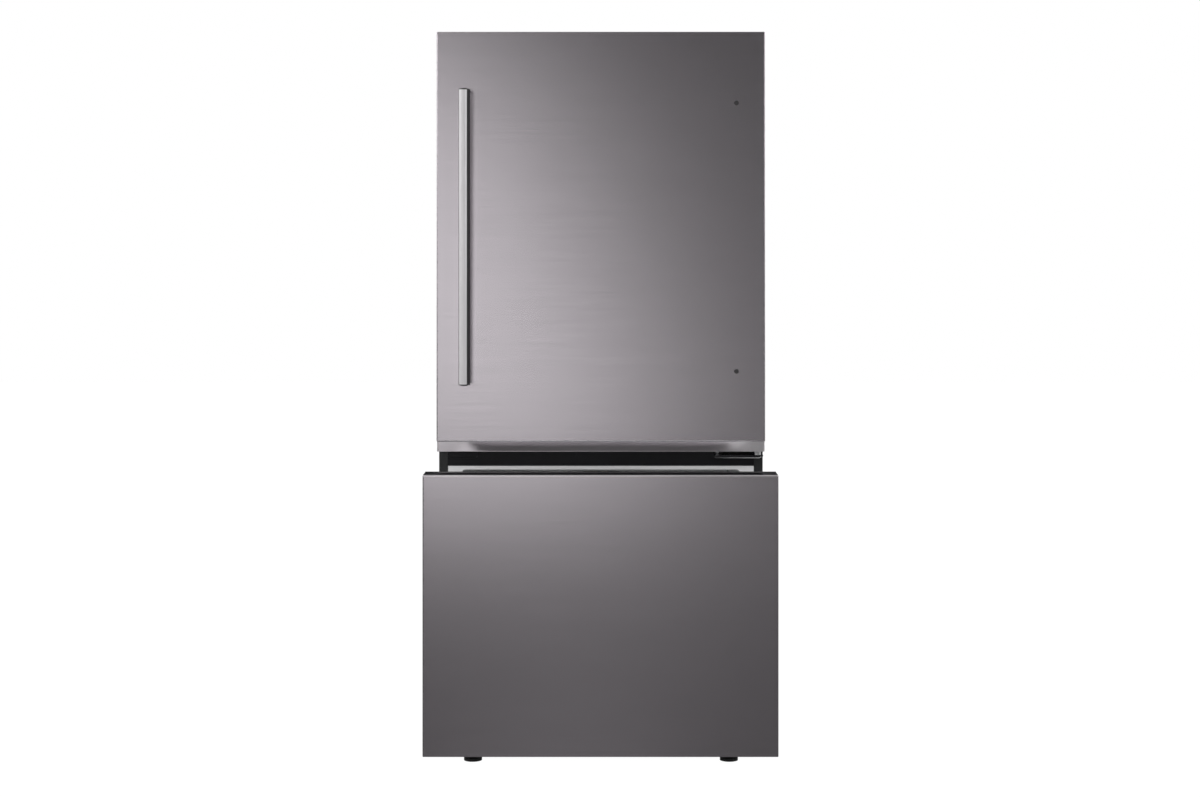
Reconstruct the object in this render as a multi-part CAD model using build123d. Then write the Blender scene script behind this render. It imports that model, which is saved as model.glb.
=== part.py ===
from build123d import *
import math
import os

# A 30 inch counter-depth refrigerator: one hinged door over a pull-out freezer
# drawer. Millimetres, +Z up, front towards -Y. The origin is on the floor, midway
# across and midway along the depth with the freezer drawer standing open.
os.makedirs("parts", exist_ok=True)

# Overall sizes
WIDTH = 756.0
DOOR_TOP = 1704.0
CASE_TOP = 1683.0
CASE_DEPTH = 640.0
DOOR_THICK = 70.0
DOOR_GAP = 8.0
DRAWER_OUT = 361.0  # how far the drawer stands open at rest

# Depth stations along Y, with the drawer pushed in
HALF = WIDTH / 2
TOTAL_DEPTH = DRAWER_OUT + DOOR_THICK + DOOR_GAP + CASE_DEPTH
FACE_Y = DRAWER_OUT - TOTAL_DEPTH / 2
DOOR_BACK = FACE_Y + DOOR_THICK
CASE_FRONT = DOOR_BACK + DOOR_GAP
CASE_BACK = TOTAL_DEPTH / 2

# Cabinet sheet and plastic
SHEET = 1.0
BEAD = 1.9  # depth of the beads pressed into the rear panel
CASE_FOOT = 22.0
FLANGE = 20.0  # width of the dark steel flange round the mouth
MOUTH_HALF = HALF - FLANGE
RIM_HALF = MOUTH_HALF - 1.0  # liner rims and mullion cover lie just inside the flange
WALL = 2.4  # moulded liner wall
LINER_HALF = 324.6
LINER_BACK = 470.0
FRIDGE_RADIUS = 18.0
FREEZER_RADIUS = 8.0
BACK_RADIUS = 14.0  # round the fridge tub's back wall
FRIDGE_MOUTH = (762.0, 1630.0)
FRIDGE_RIM = (753.0, CASE_TOP - FLANGE - 1.0)
FREEZER_MOUTH = (165.0, 690.2)
FREEZER_RIM = (135.0, 698.6)
FREEZER_STEP_Y = 285.0
FREEZER_STEP_Z = 318.0
FOAM_FOOT = 136.0
HINGE_Z = (717.0, 736.5)  # of the plates on the mullion, for either hand

# Machine compartment at the foot of the back
MACHINE_Y = 305.0
MACHINE_TOP = 290.0
BASE_Z = (48.0, 50.0)

# Doors
BEND = 3.0  # outside radius of the folded steel skin
SKIN_BACK = DOOR_BACK - 6.0
DOOR_FACE_FOOT = 761.7
DOOR_FOOT = 737.5
STRIP_SETBACK = 18.0
SCOOP_DEPTH = 6.5
SCOOP_HALF = 345.0
SCOOP_FADE = 95.0  # length over which each end of the scoop runs out
SCOOP_SILL = 1.5  # height of the plain sill left below the scoop
SCOOP_FOOT = 0.02  # depth at which the slope starts above the sill
DRAWER_Z = (124.3, 722.6)
PIN_X = 363.0
PIN_Y = FACE_Y + 40.0
POCKET_FLOOR = 1681.0
CAP_FOOT = 1676.0

# Handle
HANDLE_Z = (893.0, 1571.0)
POST_Z = (923.8, 1540.5)
HANDLE_X = (-324.0, -298.0)
HANDLE_REACH = 50.0
PLUG_X = 311.8

# Door storage
BIN_HALF = 288.0
BIN_Y = (-120.0, -12.0)
DAIRY_PIVOT = (-112.0, 1508.0)

# Shelves
SHELF_Y = (5.0, 437.0)
SHELF_HALF = 321.0
SHELF_Z = (1165.0, 1395.0)
CRISPER_COVER_Z = 940.0

# Drawer slides and the toothed shaft that keeps both sides level
RAIL_Y = (-90.0, 380.0)
RAIL_Z = (398.0, 442.0)
MODULE = 2.5
TEETH = 18
PRESSURE = math.radians(20)
BACKLASH = 0.3
PINION_Y = 370.0
PINION_Z = 369.0
PINION_X = (309.0, 321.0)
PITCH_RADIUS = MODULE * TEETH / 2


def span(pair):
    return pair[1] - pair[0]


def middle(pair):
    return (pair[0] + pair[1]) / 2


def wide(half):
    """The two ends of a width centred on the middle of the cabinet."""
    return (-half, half)


def grown(pair, by):
    return (pair[0] - by, pair[1] + by)


def block(x, y, z):
    """A block between two ends on each axis."""
    return Pos(middle(x), middle(y), middle(z)) * Box(span(x), span(y), span(z))


def rounded_y(x, y, z, radius):
    """A block whose four edges along Y are rounded."""
    face = Pos(middle(x), middle(z)) * RectangleRounded(span(x), span(z), radius)
    return Pos(0, y[1], 0) * extrude(Plane.XZ * face, span(y))


def rounded_z(x, y, z, radius):
    """A block whose four edges along Z are rounded."""
    face = Pos(middle(x), middle(y)) * RectangleRounded(span(x), span(y), radius)
    return Pos(0, 0, z[0]) * extrude(face, span(z))


def prism_x(outline, x):
    """A (y, z) outline carried along X."""
    face = Plane.YZ * Polygon(*outline, align=None)
    return Pos(x[0], 0, 0) * extrude(face, span(x), dir=(1, 0, 0))


def prism_z(outline, z):
    """An (x, y) outline carried along Z."""
    return Pos(0, 0, z[0]) * extrude(Polygon(*outline, align=None), span(z), dir=(0, 0, 1))


def rod_x(y, z, radius, x):
    return Pos(middle(x), y, z) * Rot(0, 90, 0) * Cylinder(radius, span(x))


def rod_y(x, z, radius, y):
    return Pos(x, middle(y), z) * Rot(90, 0, 0) * Cylinder(radius, span(y))


def rod_z(x, y, radius, z):
    return Pos(x, y, middle(z)) * Cylinder(radius, span(z))


def joined(shapes):
    """All the shapes fused, or kept side by side where they don't touch."""
    shapes = list(shapes)
    return shapes[0] + shapes[1:] if len(shapes) > 1 else shapes[0]


def with_mirror(shape):
    """The shape with its mirror image across the middle of the cabinet."""
    return shape + mirror(shape, Plane.YZ)


def save(name, shape, out=0.0):
    """Write one sub-part, moved forward by how far its piece stands out at rest."""
    export_step(Pos(0, -out, 0) * shape, f"parts/{name}.step")


# ---------------------------------------------------------------- cabinet


def outer_case():
    """Folded wrapper: two sides and a top, with a flange turned in round the front."""
    shell = block(wide(HALF), (CASE_FRONT, CASE_BACK), (CASE_FOOT, CASE_TOP))
    shell = fillet(shell.edges().filter_by(Axis.Y).group_by(Axis.Z)[-1], BEND)
    inside = block(
        wide(HALF - SHEET),
        (CASE_FRONT + SHEET, CASE_BACK + 1),
        (CASE_FOOT - 1, CASE_TOP - SHEET),
    )
    mouth = block(
        wide(MOUTH_HALF),
        (CASE_FRONT - 1, CASE_FRONT + 2 * SHEET),
        (CASE_FOOT - 1, CASE_TOP - FLANGE),
    )
    inside = fillet(inside.edges().filter_by(Axis.Y).group_by(Axis.Z)[-1], BEND - SHEET)
    return shell - inside - mouth


def rear_panel():
    """Sheet that closes the back, stiffened by three long beads pressed inwards."""
    y = (CASE_BACK - SHEET, CASE_BACK)
    panel = block(wide(HALF - SHEET), y, (MACHINE_TOP, CASE_TOP - BEND))
    z = (400, 1570)
    for x in (-210, 0, 210):
        panel += rounded_y((x - 17, x + 17), (y[0] - BEAD, y[0]), z, 16.9)
        bead = rounded_y((x - 15, x + 15), (y[1] - BEAD, y[1] + 1), grown(z, -2), 14.9)
        panel -= bead
    return panel


def liner_tub(mouth, y_back, radius, grow=0.0, y_front=CASE_FRONT):
    """Solid form of a moulded tub, its four long edges rounded."""
    y = (y_front, y_back + grow)
    return rounded_y(wide(LINER_HALF + grow), y, grown(mouth, grow), radius + grow)


def round_back(tub, radius):
    """The tub with the edges of its back wall rounded too."""
    return fillet(tub.edges().group_by(Axis.Y)[-1], radius)


def fridge_hollow():
    tub = liner_tub(FRIDGE_MOUTH, LINER_BACK, FRIDGE_RADIUS, y_front=CASE_FRONT - 1)
    return round_back(tub, BACK_RADIUS)


def fridge_form():
    rim = block(wide(RIM_HALF), (CASE_FRONT, CASE_FRONT + WALL), FRIDGE_RIM)
    tub = liner_tub(FRIDGE_MOUTH, LINER_BACK, FRIDGE_RADIUS, WALL)
    return round_back(tub, BACK_RADIUS + WALL) + rim


def fridge_liner():
    """White moulded tub of the upper compartment, with ledges for the shelves."""
    liner = fridge_form() - fridge_hollow()
    for z in (*SHELF_Z, CRISPER_COVER_Z):
        ledge = block((LINER_HALF - 11, LINER_HALF + 1), (20, 430), (z - 9, z))
        ledge = fillet(ledge.edges().filter_by(Axis.Z).group_by(Axis.X)[0], 6)
        liner += with_mirror(ledge)
    return liner


def freezer_mass(grow=0.0, y_front=CASE_FRONT):
    """The freezer tub's form: deep in front, and raised over the machine compartment."""
    front = liner_tub(FREEZER_MOUTH, FREEZER_STEP_Y, FREEZER_RADIUS, grow, y_front)
    raised = (FREEZER_STEP_Z, FREEZER_MOUTH[1])
    rear = liner_tub(raised, LINER_BACK, FREEZER_RADIUS, grow, y_front)
    return front + rear


def freezer_form():
    rim = block(wide(RIM_HALF), (CASE_FRONT, CASE_FRONT + WALL), FREEZER_RIM)
    return freezer_mass(WALL) + rim


def freezer_liner():
    """White moulded tub of the freezer, stepped over the machine compartment."""
    return freezer_form() - freezer_mass(y_front=CASE_FRONT - 1)


def cabinet_insulation():
    """Foam that fills the wall between the steel wrapper and the two liners."""
    foam = block(
        wide(HALF - SHEET - 0.5),
        (CASE_FRONT + SHEET, CASE_BACK - SHEET - 2),
        (FOAM_FOOT, CASE_TOP - SHEET - 0.5),
    )
    foam = fillet(foam.edges().filter_by(Axis.Y).group_by(Axis.Z)[-1], BEND)
    machine = block(wide(HALF), (MACHINE_Y, CASE_BACK), (FOAM_FOOT - 1, MACHINE_TOP))
    strip_z = (FREEZER_RIM[1], FRIDGE_RIM[0] + 1)
    strip = block(wide(MOUTH_HALF), (CASE_FRONT, CASE_FRONT + 3), strip_z)
    return foam - machine - strip - fridge_form() - freezer_form()


def mullion_cover():
    """Dark strip across the front between the compartments, with the spare hinge's cover."""
    z = (FREEZER_RIM[1], FRIDGE_RIM[0])
    cover = block(wide(RIM_HALF), (CASE_FRONT, CASE_FRONT + 3), z)
    groove_z = (z[0] + 2, z[0] + 4)
    cover -= block(wide(RIM_HALF + 1), (CASE_FRONT - 1, CASE_FRONT + 1.5), groove_z)
    spare = rounded_y((-356, -289), (CASE_FRONT - 2.5, CASE_FRONT), HINGE_Z, 5)
    spare = fillet(spare.edges().group_by(Axis.Y)[0], 1.5)
    return cover + spare


def screw_head(x, y, z, radius, height):
    """Hexagon washer head standing on +Z, the washer first."""
    washer = rod_z(x, y, radius, (z, z + 1))
    nut = Pos(x, y, z + 1) * extrude(RegularPolygon(radius * 0.8, 6), height - 1)
    return washer + nut


def top_hinge_bracket():
    """Steel plate on the cabinet top with an arm that carries the upper hinge pin."""
    z = (CASE_TOP, CASE_TOP + 4)
    plate = rounded_z((275, 375), (-95, -25), z, 8)
    arm = block((PIN_X - 12, PIN_X + 12), (PIN_Y, -60), z) + rod_z(PIN_X, PIN_Y, 12, z)
    pin = rod_z(PIN_X, PIN_Y, 5, (1660, CASE_TOP + 1))
    heads = joined(screw_head(x, -45, z[1], 6, 5) for x in (290, 325, 360))
    return plate + arm + pin + heads


def top_hinge_cover():
    """Plastic hood over the upper hinge, open below and notched for the hinge arm."""
    hood = rounded_z((266, 377), (-98, -16), (CASE_TOP, 1701), 8)
    hood = chamfer(hood.edges().group_by(Axis.Z)[-1], 3)
    hollow = rounded_z((268.5, 375.8), (-96, -18.5), (CASE_TOP - 1, 1698.5), 6)
    arm_way = block((PIN_X - 13, PIN_X + 13), (-99, -90), (CASE_TOP - 1, CASE_TOP + 5))
    return hood - hollow - arm_way


def middle_hinge_bracket():
    """Steel angle on the mullion: a shelf in front carries the lower hinge pin."""
    x = (263, 376)
    shelf_z = (724.5, 728)
    flange = rounded_y(x, (CASE_FRONT - 3.5, CASE_FRONT), HINGE_Z, 7)
    flange = fillet(flange.edges().group_by(Axis.Y)[0], 1.8)
    shelf = rounded_z(x, (PIN_Y - 9.5, CASE_FRONT - 1), shelf_z, 9)
    shelf = shelf & block(x, (PIN_Y - 20, CASE_FRONT - 1), shelf_z)
    pin = rod_z(PIN_X, PIN_Y, 4.5, (shelf_z[0] + 1, 760))
    collar = rod_z(PIN_X, PIN_Y, 8, (shelf_z[0] + 1, 737.2))
    screws = joined(
        rod_y(sx, 732, 4, (CASE_FRONT - 5, CASE_FRONT - 2)) for sx in (272, 302, 332)
    )
    return flange + shelf + pin + collar + screws


def base_frame():
    """Steel floor of the cabinet, with turned-down sides, front posts and roller forks."""
    low, high = BASE_Z
    inside = HALF - SHEET
    floor = block(wide(inside), (-75, 536), BASE_Z)
    for x in (-302, 302):
        floor -= rod_z(x, -50.5, 5.2, (low - 1, high + 1))
    side = block((inside - 2, inside), (-75, 536), (CASE_FOOT + 4, high))
    post = block((340, 356), (CASE_FRONT + 6, -60), (low, 134))
    rail = block(wide(356), (CASE_FRONT + 4, CASE_FRONT + 6), (106, 134))
    frame = floor + with_mirror(side) + with_mirror(post) + rail
    fork = block((316, 318), (468, 512), (8, high)) + block((338, 340), (468, 512), (8, high))
    fork += rod_x(490, 20, 4, (313, 343))
    return frame + with_mirror(fork)


def base_grille():
    """Dark toe grille across the foot of the cabinet, with rows of slots."""
    y = (CASE_FRONT, CASE_FRONT + 6)
    grille = rounded_y(wide(356), y, (24, 105), 3)
    for x in range(-300, 301, 120):
        for z in range(38, 95, 14):
            grille -= rounded_y((x - 52, x + 52), grown(y, 1), (z, z + 6), 2.9)
    return grille


def levelling_legs():
    """Two screw feet: a wide foot disc, a hexagon for the spanner and a stud."""
    x, y = 302, -50.5
    foot = Pos(x, y, 4) * Cylinder(21.35, 8)
    foot = chamfer(foot.edges().group_by(Axis.Z)[-1], 2)
    neck = rod_z(x, y, 9, (8, 14))
    spanner = Pos(x, y, 14) * extrude(RegularPolygon(11, 6), 9)
    stud = rod_z(x, y, 5, (20, 78))
    nut = Pos(x, y, 41) * extrude(RegularPolygon(10, 6), BASE_Z[0] - 41)
    return with_mirror(foot + neck + spanner + stud + nut)


def rear_roller(side):
    """Plain transport roller on its axle at the back."""
    x = (319.5, 336.5) if side > 0 else (-336.5, -319.5)
    wheel = rod_x(490, 20, 20, x)
    wheel = chamfer(wheel.edges(), 1.5)
    return wheel - rod_x(490, 20, 4.06, grown(x, 1))


def compressor():
    """Domed steel can on a foot plate, with its two stub pipes and terminal box."""
    x, y, z = 205, 415, 66
    can = Pos(x, y, z + 75) * Cylinder(72, 150)
    can = fillet(can.edges(), 26)
    seam = rod_z(x, y, 76, (z + 72, z + 76))
    plate = rounded_z((x - 95, x + 95), (y - 60, y + 60), (z - 3, z + 3), 12)
    grommets = joined(
        rod_z(x + a, y + b, 11, (BASE_Z[1], z - 3)) for a in (-80, 80) for b in (-45, 45)
    )
    box = block((x + 60, x + 98), (y - 28, y + 28), (z + 40, z + 110))
    pipes = rod_z(x - 35, y, 4, (z + 140, z + 178)) + rod_z(x - 15, y + 30, 3, (z + 140, z + 170))
    return can + seam + plate + grommets + box + pipes


def finned_coil(x, y, z, fins, rows, radius):
    """Finned block: level tubes along X, joined in turn at their ends, through thin fins."""
    pitch = span(z) / rows
    levels = [z[0] + pitch * (k + 0.5) for k in range(rows)]
    depths = (y[0] + span(y) * 0.28, y[0] + span(y) * 0.72)
    tube_x = grown(x, 12)
    coil = joined(rod_x(d, level, radius, tube_x) for d in depths for level in levels)
    bend = Rot(90, 0, 0) * Torus(pitch / 2, radius)
    for k, (lower, upper) in enumerate(zip(levels, levels[1:])):
        beyond = block((0, pitch), wide(pitch), wide(pitch))
        half_bend = bend & (beyond if k % 2 else Rot(0, 0, 180) * beyond)
        for d in depths:
            coil += Pos(tube_x[k % 2], d, (lower + upper) / 2) * half_bend
    step = span(x) / (fins - 1)
    for k in range(fins):
        fin_x = x[0] + k * step
        coil += block((fin_x - 0.5, fin_x + 0.5), y, z)
    return coil


def condenser_coil():
    """Finned condenser beside the fan, standing in the drain pan's frame."""
    return finned_coil((-262, -92), (352, 452), (66, 206), 12, 4, 4)


def drain_pan():
    """Shallow tray under the condenser that catches the defrost water."""
    x, y = (-285, -70), (335, 470)
    pan = rounded_z(x, y, (BASE_Z[1], 66), 8)
    return pan - rounded_z(grown(x, -2), grown(y, -2), (BASE_Z[1] + 2, 64), 6)


def fan_wheel(hub, tip, chord, blades, pitch, bore):
    """Fan about Z: a cupped hub and pitched blades with rounded tips."""
    wheel = Cylinder(hub, chord * 0.7)
    blade = extrude(RectangleRounded(tip - hub + 4, chord, chord * 0.3), 1.6)
    for k in range(blades):
        place = Rot(0, 0, 360 * k / blades) * Pos((tip + hub - 4) / 2, 0, -0.8)
        wheel += place * Rot(pitch, 0, 0) * blade
    return wheel - Cylinder(bore, chord * 2)


CONDENSER_FAN = (20.0, 400.0, 140.0)
EVAPORATOR_FAN = (0.0, 426.0, 610.0)


def condenser_fan_bracket():
    """Plate with a round opening that carries the condenser fan's motor on three arms."""
    x, y, z = CONDENSER_FAN
    plate = rounded_y(wide(62), (0, 3), (-62, 62), 8) - rod_y(0, 0, 56, (-1, 4))
    motor = rod_y(0, 0, 19, (-44, -20)) + rod_y(0, 0, 2, (-21, 8))
    for k in range(3):
        arm = block((17, 61), (-30, -26), (-4, 4)) + block((57, 61), (-30, 1), (-4, 4))
        motor += Rot(0, 90 + 120 * k, 0) * arm
    foot = block((-50, 50), (0, 3), (-90, -56)) - rod_y(0, 0, 56, (-1, 4))
    foot += block((-50, 50), (-30, 3), (-90, -88))
    return Pos(x, y, z) * Rot(0, 0, -90) * (plate + motor + foot)


def condenser_fan():
    x, y, z = CONDENSER_FAN
    return Pos(x + 4, y, z) * Rot(0, 90, 0) * fan_wheel(15, 50, 26, 5, 32, 2.06)


def machine_cover():
    """Slotted sheet that closes the machine compartment at the back."""
    y = (CASE_BACK - SHEET, CASE_BACK)
    cover = block(wide(HALF - SHEET), y, (30, MACHINE_TOP - 1))
    for x in [*range(-300, -79, 20), *range(100, 321, 20)]:
        cover -= rounded_y((x - 4, x + 4), grown(y, 1), (95, 225), 3.9)
    cover -= rod_y(20, 120, 11, grown(y, 1))
    return cover


def cord_inlet():
    """Plain plastic bushing in the machine cover where a supply lead would pass."""
    y = (CASE_BACK - 9, CASE_BACK)
    ring = rod_y(20, 120, 10.8, y) + rod_y(20, 120, 16, (y[0], y[0] + 8))
    return ring - rod_y(20, 120, 6, grown(y, 1))


def evaporator():
    """Finned cold coil behind the freezer's back panel."""
    return finned_coil((-225, 225), (412, 462), (352, 472), 19, 3, 4)


def freezer_duct_cover():
    """Back panel of the freezer: fan guard, return slots and the fan motor's mount."""
    y = (402, 405)
    x_fan, y_fan, z_fan = EVAPORATOR_FAN
    panel = rounded_y(wide(LINER_HALF), y, (FREEZER_STEP_Z + 1, FREEZER_MOUTH[1] - 0.3), 19)
    for k in range(5):
        z = z_fan - 40 + 20 * k
        reach = math.sqrt(50**2 - (20 * k - 40) ** 2)
        panel -= rounded_y((x_fan - reach, x_fan + reach), grown(y, 1), (z - 6, z + 6), 5)
    for x in range(-240, 241, 60):
        panel -= rounded_y((x - 22, x + 22), grown(y, 1), (350, 358), 3.9)
    shroud = rod_y(x_fan, z_fan, 60, (405, 440)) - rod_y(x_fan, z_fan, 57, (404, 441))
    motor = rod_y(x_fan, z_fan, 17, (442, 460)) + rod_y(x_fan, z_fan, 2, (412, 443))
    arms = block((-59, 59), (440, 444), (z_fan - 4, z_fan + 4))
    return panel + shroud + motor + arms


def evaporator_fan():
    x, y, z = EVAPORATOR_FAN
    return Pos(x, y, z) * Rot(90, 0, 0) * fan_wheel(15, 52, 24, 5, 30, 2.06)


def fridge_duct_panel():
    """Tall air channel on the fridge's back wall, with pairs of outlets."""
    y = (452, LINER_BACK)
    panel = rounded_y(wide(105), y, (985, 1598), 14)
    panel = fillet(panel.edges().group_by(Axis.Y)[0], 5)
    panel -= rounded_y(wide(98), (y[0] + 3, y[1] + 1), (992, 1591), 10)
    for z in (1040, 1110, 1250, 1310, 1460, 1520):
        for x in (-50, 50):
            panel -= rounded_y((x - 32, x + 32), (y[0] - 1, y[0] + 4), (z, z + 9), 4)
    return panel


def lamp_cover():
    """Translucent lens of the ceiling lamp."""
    lens = rounded_z(wide(90), (150, 270), (1616, FRIDGE_MOUTH[1]), 12)
    lens = chamfer(lens.edges().group_by(Axis.Z)[0], 4)
    return lens - rounded_z(wide(86), (154, 266), (1619, FRIDGE_MOUTH[1] + 1), 9)


def control_panel():
    """Sloping control housing under the fridge's ceiling, with a flat touch strip."""
    top = FRIDGE_MOUTH[1]
    outline = [(2, top), (2, top - 12), (24, top - 32), (92, top - 24), (92, top)]
    housing = prism_x(outline, wide(140))
    lower = housing.edges().filter_by(Axis.X).filter_by(lambda e: e.center().Z < top - 1)
    return fillet(lower, 4)


def shelf_frame(z):
    """Moulded frame of one glass shelf, with a rabbet that the pane drops into."""
    frame = rounded_z(wide(SHELF_HALF), SHELF_Y, (z, z + 14), 10)
    frame = fillet(frame.edges().filter_by(Axis.X).group_by(Axis.Y)[0], 3)
    frame -= block(wide(300), (SHELF_Y[0] + 18, SHELF_Y[1] - 16), (z - 1, z + 15))
    return frame - pane(z)


def pane(z):
    return block(wide(311), (SHELF_Y[0] + 8, SHELF_Y[1] - 6), (z + 9, z + 14))


def crisper_frame():
    """Frame over the crispers: glass rabbet, centre divider and the drawers' runners."""
    z = CRISPER_COVER_Z
    low, high = FRIDGE_MOUTH[0], z + 1
    divider = block(wide(6), (18, 430), (low, high)) + block(wide(12), (22, 430), (912, 921))
    skirt = block((315, SHELF_HALF), (20, 430), (912, z - 9))
    skirt += block((303, SHELF_HALF), (22, 430), (912, 921))
    hanger = block((306, 313.4), (20, 430), (921, high)) + block((306, 321), (20, 430), (921, 925))
    return shelf_frame(z) + divider + with_mirror(skirt + hanger)


def crisper(side):
    """Clear crisper drawer that hangs by its rim on the runners, with a finger notch."""
    x, y, z = (14, 300), (14, 414), (768, 925)
    box = rounded_z(x, y, z, 12) - rounded_z(grown(x, -2.5), grown(y, -2.5), (771, 926), 9.5)
    rim = block((8, 305), (24, 414), (921.6, 925)) - block(x, y, (900, 930))
    front = rounded_y((9, 304), (9, 14), (766, 934), 6)
    front = fillet(front.edges().group_by(Axis.Y)[0], 2)
    front -= rounded_y((104, 210), (8, 18), (912, 950), 8)
    box -= block((112, 202), (13, 20), (912, 926))
    drawer = box + rim + front
    return drawer if side > 0 else mirror(drawer, Plane.YZ)


# ---------------------------------------------------------------- door


def skin_form(inset, foot, top, y_back):
    """Solid inside of a folded steel panel, whose front corners are bent round.

    foot is the bottom of the front face, or that and the bottom of a strip that is
    set back below it, with a finger scoop behind the face's rolled lower edge.
    """
    front = FACE_Y + inset
    outline = [(y_back, top), (front, top), (front, foot[0] + inset)]
    if len(foot) > 1:
        outline.append((front + STRIP_SETBACK, foot[0] + inset))
        outline.append((front + STRIP_SETBACK, foot[1] + inset))
    outline.append((y_back, foot[-1] + inset))
    form = prism_x(outline, wide(HALF - inset))
    upright = form.edges().filter_by(Axis.Z).filter_by(lambda e: e.center().Y < SKIN_BACK - 1)
    form = fillet(upright, BEND - inset)
    if len(foot) > 1:
        lower = form.edges().filter_by(Axis.X).group_by(Axis.Y)[0].sort_by(Axis.Z)[0]
        form = fillet(lower, BEND - inset) - finger_scoop(front + STRIP_SETBACK, foot, inset)
    return form


def finger_scoop(y, foot, inset):
    """Hollow cut from the strip: a slope, deepest at its top, that fades out towards both ends."""
    ends = SCOOP_HALF - inset
    deep = ends - SCOOP_FADE
    sections = []
    for z, back in ((foot[1] + SCOOP_SILL, y + SCOOP_FOOT), (foot[0] + inset, y + SCOOP_DEPTH)):
        outline = Polyline((-ends, y), (-ends, y - 1), (ends, y - 1), (ends, y))
        outline += Spline((ends, y), (deep, back), tangents=((-1, 0), (-1, 0)))
        outline += Line((deep, back), (-deep, back))
        outline += Spline((-deep, back), (-ends, y), tangents=((-1, 0), (-1, 0)))
        sections.append(Pos(0, 0, z) * make_face(outline))
    return loft(sections, ruled=True)


def hinge_pocket():
    """Room at the door's upper corner for the hinge arm at every door angle."""
    return block((PIN_X - 25, HALF + 1), (FACE_Y + 8.5, DOOR_BACK + 1), (POCKET_FLOOR, 1710))


def door_skin():
    """Brushed steel skin, with the strip at its foot set back as the drawer's grip."""
    foot = (DOOR_FACE_FOOT, DOOR_FOOT)
    skin = skin_form(0, foot, DOOR_TOP, SKIN_BACK)
    skin -= skin_form(SHEET, foot, DOOR_TOP + 5, SKIN_BACK + 5)
    skin -= hinge_pocket()
    for z in POST_Z:
        skin -= rod_y(PLUG_X, z, 4, (FACE_Y - 1, FACE_Y + 2))
    return skin - rod_z(PIN_X, PIN_Y, 13, (DOOR_FOOT - 1, DOOR_FOOT + 2))


def door_top_cap():
    """Moulded end cap in the skin's top, with the pocket for the upper hinge."""
    edge = SHEET + 0.2
    cap = block(
        wide(HALF - edge), (FACE_Y + edge, SKIN_BACK), (CAP_FOOT, DOOR_TOP - 0.5)
    )
    cap = fillet(cap.edges().filter_by(Axis.Z).group_by(Axis.Y)[0], BEND - SHEET)
    cap -= block(wide(330), (FACE_Y + 12, SKIN_BACK - 8), (CAP_FOOT + 18, DOOR_TOP))
    return cap - hinge_pocket() - rod_z(PIN_X, PIN_Y, 9.05, (CAP_FOOT - 1, POCKET_FLOOR + 1))


def hinge_bushes():
    """Plastic bushes that the door turns in: one in the top cap, one in the foot."""
    upper = rod_z(PIN_X, PIN_Y, 9, (1655, POCKET_FLOOR)) + rod_z(
        PIN_X, PIN_Y, 13, (POCKET_FLOOR, POCKET_FLOOR + 1.4)
    )
    upper -= rod_z(PIN_X, PIN_Y, 5.06, (1658, POCKET_FLOOR + 2))
    lower = rod_z(PIN_X, PIN_Y, 9, (DOOR_FOOT + 1, 765)) + rod_z(
        PIN_X, PIN_Y, 12.9, (DOOR_FOOT, DOOR_FOOT + 1)
    )
    lower -= rod_z(PIN_X, PIN_Y, 4.56, (DOOR_FOOT - 1, 762))
    return upper + lower


def hung_ring(x_half, z, y, width, radius):
    """An upright ring with rounded corners, as of a gasket or a raised rib."""
    outer = rounded_y(wide(x_half), y, z, radius)
    return outer - rounded_y(
        wide(x_half - width), grown(y, 1), grown(z, -width), max(radius - width, 2)
    )


DOOR_DISH = (wide(290), (790.0, 1605.0))


def door_dish(grow):
    """The sunken middle of the door liner."""
    x, z = DOOR_DISH
    return rounded_y(grown(x, grow), (-123.5 - grow, DOOR_BACK + 60), grown(z, grow), 16)


def door_liner():
    """White moulded inner door: flat border, raised rib, sunken middle and bin lugs."""
    sheet = block(wide(HALF - 0.4), (SKIN_BACK, DOOR_BACK), (DOOR_FOOT, DOOR_TOP - 0.5))
    rib = hung_ring(314, (775, 1617), (DOOR_BACK, DOOR_BACK + 50), 24, 20)
    sheet += fillet(rib.edges().group_by(Axis.Y)[-1], 5)
    dish = door_dish(WALL) & block(wide(400), (-140, DOOR_BACK), (700, 1700))
    liner = sheet + dish - door_dish(0) - hinge_pocket()
    for z in (*BIN_Z, DAIRY_Z):
        lug = block((BIN_HALF - 9, 291), (-100, -70), (z[0] - 12, z[0]))
        liner += with_mirror(lug)
    return liner - block((360, 380), (PIN_Y - 15, DOOR_BACK + 1), (DOOR_TOP - 20, DOOR_TOP))


def door_insulation():
    """Foam that fills the door between skin and liner."""
    edge = SHEET + 0.2
    foot = (DOOR_FACE_FOOT, DOOR_FOOT)
    foam = skin_form(edge, foot, CAP_FOOT, SKIN_BACK) - door_dish(WALL)
    foam -= rod_z(PIN_X, PIN_Y, 9.2, (1654, 1700))
    return foam - rod_z(PIN_X, PIN_Y, 13.2, (DOOR_FOOT, 766))


def gasket(z):
    """Soft magnetic seal: a thin bulb round the border of a door."""
    y = (DOOR_BACK, CASE_FRONT - 0.3)
    ring = hung_ring(356, z, y, 18, 12)
    return ring - hung_ring(351, grown(z, -5), (y[0] + 2, y[1] - 2.4), 8, 8)


def door_gasket():
    return gasket((740, 1660))


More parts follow.
